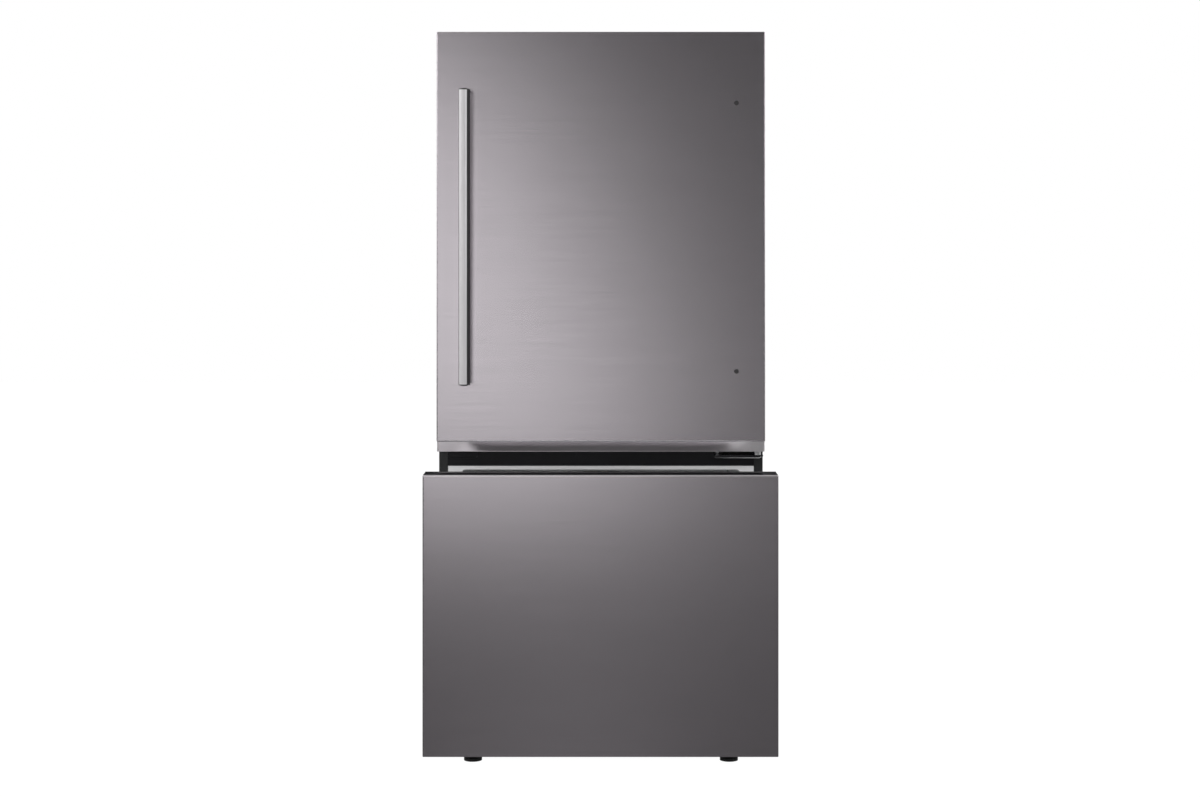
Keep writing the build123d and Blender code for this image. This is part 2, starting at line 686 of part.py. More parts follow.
def handle_bar():
    """Long bar: a gently bowed front, a bevel turned to the hinge side and domed ends."""
    left, right = HANDLE_X
    front = FACE_Y - HANDLE_REACH
    back = FACE_Y - 30
    bevel = right - 6.8  # where the bowed front meets the bevel
    bow = ThreePointArc(
        (left, front + 3), (left + 0.45 * (bevel - left), front), (bevel, front + 2.2)
    )
    rest = Polyline(
        (bevel, front + 2.2), (right, front + 9), (right - 5, back), (left + 2, back),
        (left, back - 2), (left, front + 3),
    )
    section = make_face(bow + rest)
    bar = Pos(0, 0, HANDLE_Z[0] - 5) * extrude(section, span(HANDLE_Z) + 10, dir=(0, 0, 1))
    low, high = HANDLE_Z
    x = middle(HANDLE_X)
    crown = 2.2
    tip = ThreePointArc((left, high - crown), (x, high), (right, high - crown))
    foot = ThreePointArc((right, low + crown), (x, low), (left, low + crown))
    sides = Line(tip @ 1, foot @ 0) + Line(foot @ 1, tip @ 0)
    domed = extrude(Plane.XZ * make_face(tip + foot + sides), 100, both=True)
    return bar & Pos(0, FACE_Y, 0) * domed


def handle_posts():
    """Two posts that hold the bar off the door, each on a wider foot."""
    x = middle(HANDLE_X)
    posts = []
    for z in POST_Z:
        foot = rounded_y((x - 10.5, x + 10.5), (FACE_Y - 3, FACE_Y), (z - 16.5, z + 16.5), 7)
        foot = fillet(foot.edges().group_by(Axis.Y)[0], 2)
        posts.append(foot + rounded_y((x - 8, x + 8), (FACE_Y - 30, FACE_Y), (z - 14, z + 14), 5))
    return joined(posts)


def hole_plugs():
    """Round plugs in the handle holes of the other hand."""
    plugs = []
    for z in POST_Z:
        cap = rod_y(PLUG_X, z, 5.5, (FACE_Y - 1.2, FACE_Y))
        cap = chamfer(cap.edges().group_by(Axis.Y)[0], 0.6)
        plugs.append(cap + rod_y(PLUG_X, z, 3.9, (FACE_Y - 1, FACE_Y + 1)))
    return joined(plugs)


BIN_Z = ((800.0, 900.0), (1005.0, 1095.0), (1200.0, 1285.0))
DAIRY_Z = (1410.0, 1475.0)


def storage_bin(x, y, z, radius):
    """Moulded bin: open above, rounded at its two inner corners, with a rolled lip."""
    outer = rounded_z(x, (y[0] - radius, y[1]), z, radius)
    outer = outer & block(x, y, z)
    inner = rounded_z(
        grown(x, -2.5), (y[0] - radius, y[1] - 2.5), (z[0] + 3, z[1] + 1), radius - 2.5
    )
    inner = inner & block(x, (y[0] + 2.5, y[1]), (z[0], z[1] + 1))
    lip = rounded_z(grown(x, 1.2), (y[0], y[1] + 1.2), (z[1] - 7, z[1]), radius)
    lip = lip & block(grown(x, 2), (y[0] + radius, y[1] + 2), z)
    return outer + lip - inner


def door_bin(z):
    return storage_bin(wide(BIN_HALF), BIN_Y, z, 24)


def dairy_bin():
    """Shelf bin in the top of the door with two cheeks that hold the lid's pivots."""
    y_pivot, z_pivot = DAIRY_PIVOT
    tub = storage_bin(wide(BIN_HALF), BIN_Y, DAIRY_Z, 24)
    cheek = block((BIN_HALF - 3, BIN_HALF), (BIN_Y[0], -88), (DAIRY_Z[0] + 20, z_pivot + 10))
    cheek = fillet(cheek.edges().filter_by(Axis.X).group_by(Axis.Z)[-1], 8)
    cheek -= rod_x(y_pivot, z_pivot, 3.06, (BIN_HALF - 5, BIN_HALF + 2))
    return tub + with_mirror(cheek)


def dairy_cover():
    """Clear lid that lifts on two side pivots."""
    y, z = DAIRY_PIVOT
    half = BIN_HALF - 3.8
    wall = 2.5
    outline = [
        (y - 4, z + 4),
        (y + 88, z + 4),
        (y + 98, z - 6),
        (y + 98, DAIRY_Z[1] + 2),
        (y + 98 - wall, DAIRY_Z[1] + 2),
        (y + 98 - wall, z - 5),
        (y + 87, z + 4 - wall),
        (y + 4, z + 4 - wall),
        (y + 4, z - 4),
        (y - 4, z - 4),
    ]
    return prism_x(outline, wide(half)) + rod_x(y, z, 3, wide(BIN_HALF - 0.5))


# ---------------------------------------------------------------- freezer drawer


def drawer_skin():
    """Brushed steel skin of the drawer, its top edge turned over as a narrow hem."""
    foot, top = (DRAWER_Z[0],), DRAWER_Z[1]
    form = skin_form(0, foot, top, SKIN_BACK)
    rim = form.edges().filter_by(Axis.X).group_by(Axis.Y)[0]
    form = fillet(rim, 1.5)
    hollow = skin_form(SHEET, foot, top - SHEET, SKIN_BACK + 5)
    mouth = block(wide(HALF - SHEET), (FACE_Y + 5, SKIN_BACK + 5), (top - 10, top + 5))
    return form - hollow - mouth


def drawer_top_cap():
    """Dark moulding along the drawer's top, with the long finger groove."""
    edge = SHEET + 0.2
    z = (690, DRAWER_Z[1] + 0.6)
    cap = block(wide(HALF - edge), (FACE_Y + 5.2, SKIN_BACK), z)
    cap += block(wide(HALF - 0.4), (SKIN_BACK, DOOR_BACK), z)
    cap += block(wide(HALF - 4), (FACE_Y + edge, FACE_Y + 6), (z[0], DRAWER_Z[1] - 1.2))
    groove = rounded_z(wide(348), (FACE_Y + 6, FACE_Y + 36), (698, 730), 10)
    return cap - groove


def drawer_liner():
    """White moulded inner face of the drawer front."""
    sheet = block(wide(HALF - 0.4), (SKIN_BACK, DOOR_BACK), (DRAWER_Z[0], 690))
    pad = rounded_y(wide(262), (DOOR_BACK, DOOR_BACK + 26), (182, 655), 18)
    pad -= rounded_y(wide(240), (DOOR_BACK + 12, DOOR_BACK + 30), (204, 633), 12)
    return sheet + fillet(pad.edges().group_by(Axis.Y)[-1], 5)


def drawer_insulation():
    edge = SHEET + 0.2
    return skin_form(edge, (DRAWER_Z[0],), 690, SKIN_BACK)


def drawer_gasket():
    return gasket((143, 710))


def outer_rails():
    """Fixed channel of each slide, screwed to the liner wall."""
    x, sheet = (311.0, LINER_HALF), 1.5
    rail = block(x, RAIL_Y, RAIL_Z)
    rail -= block((x[0] - 1, x[1] - sheet), grown(RAIL_Y, 1), grown(RAIL_Z, -sheet))
    return with_mirror(rail)


def mid_rails():
    """Travelling member of each slide, at half the drawer's speed."""
    y, z = (-85, 375), (400, 440)
    beam = block((316.2, 317.8), y, z)
    for level in ((400, 401.5), (438.5, 440)):
        beam += block((312, 322.4), y, level)
    return with_mirror(beam)


def inner_rails():
    """Drawer member of each slide, with its front bracket and the shaft's bearing."""
    y, z = (-100, 375), (402.2, 437.8)
    rail = block((303, 315), y, z) - block((304.5, 316), grown(y, 1), (403.7, 436.3))
    foot = block((268, 303), (DOOR_BACK, DOOR_BACK + 2), (340, 500))
    gusset = prism_x(
        [(DOOR_BACK, 340), (DOOR_BACK, 500), (-60, 438), (60, 438), (60, 403)], (301, 303)
    )
    hanger = prism_x(
        [(PINION_Y - 12, 437), (PINION_Y - 12, 360), (PINION_Y + 5, 357), (375, 437)],
        (301, 303),
    )
    bearing = rod_x(PINION_Y, PINION_Z, 10, (299, 303.5)) + hanger
    bearing -= rod_x(PINION_Y, PINION_Z, 5.06, (298, 305))
    bolts = joined(
        rod_y(285, z, 5, (DOOR_BACK + 1, DOOR_BACK + 5)) for z in (360, 420, 480)
    )
    return with_mirror(rail + foot + gusset + bearing + bolts)


def tooth_half_angle(radius):
    """Half the angle that an involute tooth spans at a radius."""
    base = PITCH_RADIUS * math.cos(PRESSURE)
    alpha = math.acos(min(1.0, base / radius))
    at_pitch = math.pi / (2 * TEETH) - BACKLASH / (4 * PITCH_RADIUS)
    return at_pitch + (math.tan(PRESSURE) - PRESSURE) - (math.tan(alpha) - alpha)


def pinion(x):
    """Involute pinion, drawn with one tooth straight down and carried along X."""
    root = PITCH_RADIUS - 1.25 * MODULE
    tip = PITCH_RADIUS + MODULE
    base = PITCH_RADIUS * math.cos(PRESSURE)
    flank = [root, base, base + (tip - base) * 0.3, base + (tip - base) * 0.65, tip]
    outline = []
    for k in range(TEETH):
        centre = -math.pi / 2 + 2 * math.pi * k / TEETH
        rising = [(r, centre - tooth_half_angle(max(r, base))) for r in flank]
        falling = [(r, centre + tooth_half_angle(max(r, base))) for r in reversed(flank)]
        outline += [(r * math.cos(a), r * math.sin(a)) for r, a in rising + falling]
    return Pos(0, PINION_Y, PINION_Z) * prism_x(outline, x)


def sync_shaft():
    """Cross shaft with a pinion at each end, which rolls along both racks."""
    shaft = rod_x(PINION_Y, PINION_Z, 5, wide(PINION_X[1]))
    return shaft + pinion(PINION_X) + pinion((-PINION_X[1], -PINION_X[0]))


def racks():
    """Fixed toothed racks under the slides, in step with the pinions."""
    pitch = math.pi * MODULE
    line = PINION_Z - PITCH_RADIUS
    first = PINION_Y - DRAWER_OUT + pitch / 2
    half = pitch / 4 - BACKLASH / 4
    top, bottom = half - MODULE * math.tan(PRESSURE), half + 1.25 * MODULE * math.tan(PRESSURE)
    count_low = math.floor((first - (-93)) / pitch)
    count_high = math.floor((393 - first) / pitch)
    outline = [(-97, line - 9), (-97, line - 1.25 * MODULE)]
    for k in range(-count_low, count_high + 1):
        y = first + k * pitch
        outline += [
            (y - bottom, line - 1.25 * MODULE),
            (y - top, line + MODULE),
            (y + top, line + MODULE),
            (y + bottom, line - 1.25 * MODULE),
        ]
    outline += [(398, line - 1.25 * MODULE), (398, line - 9)]
    return with_mirror(prism_x(outline, (308, LINER_HALF)))


def freezer_basket():
    """Slotted moulded basket, stepped at the back, that hangs on the slides by its rim."""
    half, wall = 296, 2.5
    deep = [(-70, 186), (255, 186), (262, 396), (342, 400), (342, 468), (-70, 468)]
    hollow = [(-67.5, 189), (252.5, 189), (259.5, 398.7), (339.5, 402.7), (339.5, 470), (-67.5, 470)]
    basket = prism_x(deep, wide(half)) - prism_x(hollow, wide(half - wall))
    basket += with_mirror(block((half - 1, 309), (-58, 338), (438, 441)))
    for y in range(-40, 226, 26):
        for z in ((215, 265), (290, 340)):
            basket -= block(wide(half + 1), (y, y + 8), z)
    return basket


def upper_tray():
    """Shallow tray that slides on the basket's rim."""
    x, y, z = wide(288), (140, 332), (422, 500)
    tray = rounded_z(x, y, z, 10) - rounded_z(grown(x, -2.5), grown(y, -2.5), (425, 501), 7.5)
    ear = block((286.5, 299), (146, 326), (468.6, 472))
    grip = block(wide(60), (y[0] - 8, y[0] + 1), (493, 496))
    return tray + with_mirror(ear) + grip


# ---------------------------------------------------------------- write the pieces

save("outer_case", outer_case())
save("rear_panel", rear_panel())
save("cabinet_insulation", cabinet_insulation())
save("fridge_liner", fridge_liner())
save("freezer_liner", freezer_liner())
save("mullion_cover", mullion_cover())
save("top_hinge_bracket", top_hinge_bracket())
save("top_hinge_cover", top_hinge_cover())
save("middle_hinge_bracket", middle_hinge_bracket())
save("base_frame", base_frame())
save("base_grille", base_grille())
save("levelling_legs", levelling_legs())
save("rear_roller_right", rear_roller(1))
save("rear_roller_left", rear_roller(-1))
save("compressor", compressor())
save("condenser_coil", condenser_coil())
save("condenser_fan_bracket", condenser_fan_bracket())
save("condenser_fan", condenser_fan())
save("drain_pan", drain_pan())
save("machine_cover", machine_cover())
save("cord_inlet", cord_inlet())
save("evaporator", evaporator())
save("freezer_duct_cover", freezer_duct_cover())
save("evaporator_fan", evaporator_fan())
save("fridge_duct_panel", fridge_duct_panel())
save("lamp_cover", lamp_cover())
save("control_panel", control_panel())
save("shelf_frames", joined(shelf_frame(z) for z in SHELF_Z))
save("glass_shelf_lower", pane(SHELF_Z[0]))
save("glass_shelf_upper", pane(SHELF_Z[1]))
save("crisper_frame", crisper_frame())
save("crisper_cover", pane(CRISPER_COVER_Z))
save("crisper_right", crisper(1))
save("crisper_left", crisper(-1))

save("door_skin", door_skin())
save("door_top_cap", door_top_cap())
save("hinge_bushes", hinge_bushes())
save("door_liner", door_liner())
save("door_insulation", door_insulation())
save("door_gasket", door_gasket())
save("handle_bar", handle_bar())
save("handle_posts", handle_posts())
save("hole_plugs", hole_plugs())
for name, heights in zip(("lower", "middle", "upper"), BIN_Z):
    save(f"door_bin_{name}", door_bin(heights))
save("dairy_bin", dairy_bin())
save("dairy_cover", dairy_cover())

save("outer_rails", outer_rails())
save("racks", racks())
save("mid_rails", mid_rails(), DRAWER_OUT / 2)
save("drawer_skin", drawer_skin(), DRAWER_OUT)
save("drawer_top_cap", drawer_top_cap(), DRAWER_OUT)
save("drawer_liner", drawer_liner(), DRAWER_OUT)
save("drawer_insulation", drawer_insulation(), DRAWER_OUT)
save("drawer_gasket", drawer_gasket(), DRAWER_OUT)
save("inner_rails", inner_rails(), DRAWER_OUT)
save("freezer_basket", freezer_basket(), DRAWER_OUT)
save("upper_tray", upper_tray(), DRAWER_OUT)
save("sync_shaft", sync_shaft(), DRAWER_OUT)
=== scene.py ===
import math

import bpy
import numpy as np
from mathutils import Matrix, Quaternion, Vector


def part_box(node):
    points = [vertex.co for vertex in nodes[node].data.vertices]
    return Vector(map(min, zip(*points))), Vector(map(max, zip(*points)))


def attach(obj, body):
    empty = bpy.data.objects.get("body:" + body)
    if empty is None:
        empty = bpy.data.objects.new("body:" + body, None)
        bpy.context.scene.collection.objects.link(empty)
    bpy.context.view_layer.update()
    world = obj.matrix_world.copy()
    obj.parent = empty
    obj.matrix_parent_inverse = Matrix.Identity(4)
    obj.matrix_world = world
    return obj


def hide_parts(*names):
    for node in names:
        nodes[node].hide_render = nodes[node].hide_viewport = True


# A bottom freezer refrigerator, dressed in the order in which it is put together:
# cabinet, cooling parts, shelves, door and freezer drawer. Metres, +Z up, front to -Y.
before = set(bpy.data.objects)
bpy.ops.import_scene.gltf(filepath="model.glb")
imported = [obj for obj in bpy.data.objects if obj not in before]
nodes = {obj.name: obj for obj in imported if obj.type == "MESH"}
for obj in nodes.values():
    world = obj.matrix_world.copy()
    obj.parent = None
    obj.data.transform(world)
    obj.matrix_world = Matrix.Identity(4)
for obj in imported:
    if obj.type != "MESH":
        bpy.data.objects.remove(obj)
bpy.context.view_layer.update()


# ---------------------------------------------------------------- camera
# The photograph is taken level, from a little below the handle's middle and straight in
# front; the frame is shifted down so that the feet stay in it without tilting the lens.
camera_data = bpy.data.cameras.new("camera")
camera_data.lens = 61.344
camera_data.sensor_width = 36.0
camera_data.sensor_fit = "HORIZONTAL"
camera_data.shift_x = -0.00433
camera_data.shift_y = -0.11375
camera_data.clip_end = 100.0
camera = bpy.data.objects.new("camera", camera_data)
camera.location = (0.010, -4.8785, 1.175)
camera.rotation_euler = (math.pi / 2, 0.0, 0.0)
bpy.context.scene.collection.objects.link(camera)
bpy.context.scene.camera = camera
bpy.context.scene.view_settings.view_transform = "Standard"


# ---------------------------------------------------------------- floor and light
# A white studio floor that reads as plain white paper in the picture. In the steel it
# shows as the dim floor of a dark studio, with a faint glow down its middle.


def add(tree, kind, inputs=(), **settings):
    """Adds a shader node. An input is a value, or the output of another node."""
    made = tree.nodes.new("ShaderNode" + kind)
    for key, value in settings.items():
        setattr(made, key, value)
    for key, value in dict(inputs).items():
        if isinstance(value, bpy.types.NodeSocket):
            tree.links.new(value, made.inputs[key])
        else:
            made.inputs[key].default_value = value
    return made


def new_material(name):
    """A material with one Principled shader; returns it, its tree and the shader."""
    material = bpy.data.materials.new(name)
    material.use_nodes = True
    return material, material.node_tree, material.node_tree.nodes["Principled BSDF"]


def new_piece(name, points, faces):
    """An object at the origin whose mesh has these points and faces."""
    mesh = bpy.data.meshes.new(name)
    mesh.from_pydata(points.reshape(-1, 3).tolist(), [], faces)
    mesh.update()
    made = bpy.data.objects.new(name, mesh)
    bpy.context.scene.collection.objects.link(made)
    return made


def grid_faces(rows, columns, close_u=False, close_v=False, first=0):
    """Quads between the lines of a grid of points, rows along u and columns along v.

    A quad takes the corners (i, j), (i, j+1), (i+1, j+1), (i+1, j); a closed direction
    joins its last line to its first.
    """
    i = np.arange(rows if close_u else rows - 1)
    j = np.arange(columns if close_v else columns - 1)
    i, j = np.meshgrid(i, j, indexing="ij")
    i2, j2 = (i + 1) % rows, (j + 1) % columns
    quads = [i * columns + j, i * columns + j2, i2 * columns + j2, i2 * columns + j]
    return (np.stack(quads).reshape(4, -1).T + first).tolist()


# The floor is flat and carries on level to every side of the object.
floor_x, floor_y = np.meshgrid(np.linspace(-12, 12, 5), np.linspace(-9, 15, 5))
floor = new_piece(
    "studio_floor",
    np.stack([floor_x, floor_y, np.full_like(floor_x, -0.0005)], axis=-1),
    grid_faces(5, 5),
)
paper, tree, shader = new_material("white_paper")
shader.inputs["Base Color"].default_value = (0.86, 0.86, 0.86, 1)
shader.inputs["Roughness"].default_value = 0.9
shader.inputs["Specular IOR Level"].default_value = 0.1
# The camera sees mostly plain light, and a little of the paper's own soft shadows.
lit_paper = add(tree, "Emission", {"Color": (1, 1, 1, 1), "Strength": 1.07})
seen = add(tree, "LightPath")
share = add(tree, "Math", {0: seen.outputs["Is Camera Ray"], 1: 0.93}, operation="MULTIPLY")
seen_paper = add(
    tree,
    "MixShader",
    {"Fac": share.outputs[0], 1: shader.outputs[0], 2: lit_paper.outputs[0]},
)
place = add(tree, "SeparateXYZ", {0: add(tree, "TexCoord").outputs["Object"]})
aside = add(tree, "Math", {0: place.outputs["X"], 1: 0.08}, operation="ADD")
aside = add(tree, "Math", {0: aside.outputs[0]}, operation="ABSOLUTE")
glow = add(
    tree,
    "MapRange",
    {"Value": aside.outputs[0], "From Max": 0.5, "To Min": 0.20, "To Max": 0.125},
    interpolation_type="SMOOTHSTEP",
)
dim_floor = add(tree, "Emission", {"Color": (1, 0.99, 1, 1), "Strength": glow.outputs[0]})
paper_mix = add(
    tree,
    "MixShader",
    {"Fac": seen.outputs["Is Glossy Ray"], 1: seen_paper.outputs[0], 2: dim_floor.outputs[0]},
)
tree.links.new(paper_mix.outputs[0], tree.nodes["Material Output"].inputs["Surface"])
floor.data.materials.append(paper)

# The camera sees plain white behind the object. The steel mirrors dim grey air, and dull
# surfaces are lit as between the white walls of a studio.
world = bpy.data.worlds.new("studio_air")
bpy.context.scene.world = world
world.use_nodes = True
tree = world.node_tree
air = tree.nodes["Background"]
air.inputs["Color"].default_value = (1.0, 1.0, 1.02, 1)
height = add(tree, "SeparateXYZ", {0: add(tree, "TexCoord").outputs["Generated"]})
darker_up = add(
    tree,
    "MapRange",
    {
        "Value": height.outputs["Z"],
        "From Min": -0.10,
        "From Max": 0.10,
        "To Min": 0.105,
        "To Max": 0.040,
    },
)
tree.links.new(darker_up.outputs[0], air.inputs["Strength"])
walls = add(tree, "Background", {"Color": (0.43, 0.43, 0.43, 1), "Strength": 1.0})
white = add(tree, "Background", {"Color": (1, 1, 1, 1), "Strength": 1.0})
seen = add(tree, "LightPath")
after_dull = add(
    tree, "Math", {0: seen.outputs["Diffuse Depth"], 1: 0.5}, operation="GREATER_THAN"
)
around = add(
    tree,
    "MixShader",
    {"Fac": after_dull.outputs[0], 1: air.outputs[0], 2: walls.outputs[0]},
)
behind = add(
    tree,
    "MixShader",
    {"Fac": seen.outputs["Is Camera Ray"], 1: around.outputs[0], 2: white.outputs[0]},
)
tree.links.new(behind.outputs[0], tree.nodes["World Output"].inputs["Surface"])


def softbox(name, place, toward, width, height, power, roll=0.0):
    """A rectangular studio light at a place, turned to face another place, then rolled."""
    light = bpy.data.lights.new(name, "AREA")
    light.shape = "RECTANGLE"
    light.size, light.size_y = width, height
    light.energy = power
    made = bpy.data.objects.new(name, light)
    made.location = place
    aim = (Vector(toward) - Vector(place)).to_track_quat("-Z", "Y")
    made.rotation_mode = "QUATERNION"
    made.rotation_quaternion = aim @ Quaternion((0, 0, 1), roll)
    made.visible_camera = False
    bpy.context.scene.collection.objects.link(made)
    return made


# The tall leaning softbox left of the lens gives the steel its bright left half. The
# others stand where the front of the steel doesn't mirror them. Each line has the light's
# place, the place it faces, its width and height in metres and its watts.
softbox("tall_softbox", (-1.0, -6.4, 1.06), (-1.0, 0.0, 1.06), 1.41, 2.88, 21.9, 0.423)
softbox("left_softbox", (-4.2, -4.0, 2.6), (0.0, 0.0, 0.9), 2.0, 2.4, 62)
softbox("right_softbox", (4.2, -4.0, 2.6), (0.0, 0.0, 0.9), 2.0, 2.4, 50)
softbox("left_panel", (-4.8, -1.9, 1.5), (0.0, -0.2, 1.5), 3.6, 3.0, 20)
softbox("right_panel", (4.8, -1.9, 1.5), (0.0, -0.2, 1.5), 3.6, 3.0, 16)
softbox("top_softbox", (0.0, -0.2, 4.4), (0.0, 0.0, 0.0), 4.0, 3.4, 60)
softbox("left_side_softbox", (-5.0, 1.8, 1.7), (0.0, 0.2, 0.9), 2.0, 3.0, 34)
softbox("right_side_softbox", (5.0, 1.8, 1.7), (0.0, 0.2, 0.9), 2.0, 3.0, 30)
softbox("back_left_softbox", (-4.5, 3.5, 2.2), (0.0, 0.0, 0.9), 2.5, 3.0, 50)
softbox("back_right_softbox", (3.0, 5.0, 2.2), (0.0, 0.0, 0.9), 2.5, 3.0, 50)


# ---------------------------------------------------------------- outer case
# The cabinet's wrapper is one folded steel sheet, painted charcoal before folding with a
# paint that dries to a fine pebble. Its flange is the dark frame round both openings.


def new_group(name, inputs, outputs):
    """A shader node group with named sockets: (name, kind, default) in, (name, kind) out."""
    group = bpy.data.node_groups.new(name, "ShaderNodeTree")
    for label, kind, value in inputs:
        socket = group.interface.new_socket(
            label, in_out="INPUT", socket_type="NodeSocket" + kind
        )
        if value is not None:
            socket.default_value = value
    for label, kind in outputs:
        group.interface.new_socket(label, in_out="OUTPUT", socket_type="NodeSocket" + kind)
    return group, group.nodes.new("NodeGroupInput"), group.nodes.new("NodeGroupOutput")


def use_group(tree, group, **inputs):
    """Places a node group in a material."""
    made = tree.nodes.new("ShaderNodeGroup")
    made.node_tree = group
    for key, value in inputs.items():
        if isinstance(value, bpy.types.NodeSocket):
            tree.links.new(value, made.inputs[key])
        else:
            made.inputs[key].default_value = value
    return made


# Pebble: fine noise of one size for the surface, and slow clouds for its colour.
pebble, given, result = new_group(
    "fine_pebble",
    [("Vector", "Vector", None), ("Size", "Float", 0.001)],
    [("Pebble", "Float"), ("Cloud", "Float")],
)
rate = add(pebble, "Math", {0: 1.0, 1: given.outputs["Size"]}, operation="DIVIDE")
small = add(
    pebble,
    "TexNoise",
    {
        "Vector": given.outputs["Vector"],
        "Scale": rate.outputs[0],
        "Detail": 3.0,
        "Roughness": 0.55,
    },
)
cloud = add(
    pebble, "TexNoise", {"Vector": given.outputs["Vector"], "Scale": 9.0, "Detail": 3.0}
)
pebble.links.new(small.outputs["Fac"], result.inputs["Pebble"])
pebble.links.new(cloud.outputs["Fac"], result.inputs["Cloud"])

# Dust: what settles on faces that look upward, thicker in patches.
dust, given, result = new_group(
    "settled_dust",
    [("Vector", "Vector", None), ("Amount", "Float", 0.2)],
    [("Mask", "Float")],
)
facing = add(dust, "SeparateXYZ", {0: add(dust, "NewGeometry").outputs["Normal"]})
upward = add(
    dust,
    "MapRange",
    {"Value": facing.outputs["Z"], "From Min": 0.2, "From Max": 1.0},
    interpolation_type="SMOOTHSTEP",
)
patches = add(
    dust,
    "TexNoise",
    {"Vector": given.outputs["Vector"], "Scale": 28.0, "Detail": 5.0, "Roughness": 0.7},
)
settled = add(
    dust, "Math", {0: upward.outputs[0], 1: patches.outputs["Fac"]}, operation="MULTIPLY"
)
settled = add(
    dust, "Math", {0: settled.outputs[0], 1: given.outputs["Amount"]}, operation="MULTIPLY"
)
dust.links.new(settled.outputs[0], result.inputs["Mask"])


def spread(tree, value, low, high):
    """Maps a noise value, which mostly stays between 0.3 and 0.7, onto low to high."""
    return add(
        tree,
        "MapRange",
        {"Value": value, "From Min": 0.3, "From Max": 0.7, "To Min": low, "To Max": high},
    ).outputs[0]


def tint(tree, share, first, second):
    """A colour between two, by a share from 0 to 1; a colour may be another node's."""
    colours = {
        key: colour if isinstance(colour, bpy.types.NodeSocket) else (*colour, 1)
        for key, colour in (("A", first), ("B", second))
    }
    mixed = tree.nodes.new("ShaderNodeMix")
    mixed.data_type = "RGBA"
    for socket in mixed.inputs:
        if socket.type == "RGBA" and socket.name in colours:
            colour = colours[socket.name]
            if isinstance(colour, bpy.types.NodeSocket):
                tree.links.new(colour, socket)
            else:
                socket.default_value = colour
    tree.links.new(share, mixed.inputs[0])
    return [socket for socket in mixed.outputs if socket.type == "RGBA"][0]


def object_place(tree):
    return add(tree, "TexCoord").outputs["Object"]


def bump(tree, shader, height, distance, strength=1.0):
    """Feeds a height through a Bump node to the shader's normal."""
    made = add(
        tree, "Bump", {"Height": height, "Distance": distance, "Strength": strength}
    )
    tree.links.new(made.outputs[0], shader.inputs["Normal"])


def pebbled(name, dark, light, roughness, size, lift, metallic=0.0, dusty=0.0):
    """A paint or moulded plastic: clouded between two colours, with a pebbled skin."""
    material, tree, shader = new_material(name)
    place = object_place(tree)
    skin = use_group(tree, pebble, Vector=place, Size=size)
    colour = tint(tree, spread(tree, skin.outputs["Cloud"], 0.0, 1.0), dark, light)
    rough = spread(tree, skin.outputs["Pebble"], roughness - 0.05, roughness + 0.05)
    if dusty:
        mask = use_group(tree, dust, Vector=place, Amount=dusty).outputs["Mask"]
        colour = tint(tree, mask, colour, (0.46, 0.44, 0.41))
        rough = add(tree, "Math", {0: rough, 1: mask}, operation="ADD").outputs[0]
    tree.links.new(colour, shader.inputs["Base Color"])
    tree.links.new(rough, shader.inputs["Roughness"])
    shader.inputs["Metallic"].default_value = metallic
    bump(tree, shader, skin.outputs["Pebble"], lift)
    return material


def dress(material, *names):
    """Gives the material to CAD nodes."""
    for name in names:
        nodes[name].material_slots[0].material = material


def ramp(tree, value, start, stop):
    """Runs from 0 where the value is start to 1 where it is stop."""
    scale = {"Value": value, "From Min": start, "From Max": stop}
    return add(tree, "MapRange", scale, interpolation_type="SMOOTHSTEP").outputs[0]


def both(tree, first, second):
    """One where both masks are one."""
    return add(tree, "Math", {0: first, 1: second}, operation="MULTIPLY").outputs[0]


def overlay(material, mask, colour, roughness, metallic):
    """Lays a finish, or painted light or shade, on a material where a mask in its own tree is one.
    """
    tree = material.node_tree
    shader = tree.nodes["Principled BSDF"]
    under = shader.inputs["Base Color"].links[0].from_socket
    tree.links.new(tint(tree, mask, under, colour), shader.inputs["Base Color"])
    for name, over in (("Roughness", roughness), ("Metallic", metallic)):
        socket = shader.inputs[name]
        under = socket.links[0].from_socket if socket.is_linked else socket.default_value
        if under != over:
            mixed = add(tree, "Mix", {0: mask, 2: under, 3: over}, data_type="FLOAT")
            tree.links.new(mixed.outputs[0], socket)


case_paint = pebbled(
    "charcoal_case_paint",
    dark=(0.013, 0.014, 0.015),
    light=(0.016, 0.017, 0.018),
    roughness=0.42,
    size=0.0012,
    lift=0.00004,
    dusty=0.10,
)
dress(case_paint, "outer_case")


# ---------------------------------------------------------------- back and base sheets
# Rear panel, machine cover and base frame are bare galvanised sheet, pressed and punched,
# whose zinc has frozen into crystals. They are held to the case by cross-head screws.
zinc_sheet, tree, shader = new_material("galvanised_sheet")
place = object_place(tree)
crystals = add(tree, "TexVoronoi", {"Vector": place, "Scale": 85.0}, feature="F1")
shade = add(tree, "SeparateColor", {0: crystals.outputs["Color"]}).outputs[0]
skin = use_group(tree, pebble, Vector=place, Size=0.004)
mask = use_group(tree, dust, Vector=place, Amount=0.25).outputs["Mask"]
colour = tint(tree, shade, (0.475, 0.485, 0.495), (0.545, 0.555, 0.565))
tree.links.new(tint(tree, mask, colour, (0.46, 0.44, 0.41)), shader.inputs["Base Color"])
tree.links.new(
    add(tree, "MapRange", {"Value": shade, "To Min": 0.38, "To Max": 0.46}).outputs[0],
    shader.inputs["Roughness"],
)
shader.inputs["Metallic"].default_value = 0.9
bump(tree, shader, skin.outputs["Pebble"], 0.00005)
dress(zinc_sheet, "rear_panel", "machine_cover", "base_frame")


def repeated(count, rows, columns):
    """The faces of several like grids, one after another, each closed along its columns."""
    size = rows * columns
    grids = [grid_faces(rows, columns, close_v=True, first=k * size) for k in range(count)]
    return sum(grids, [])


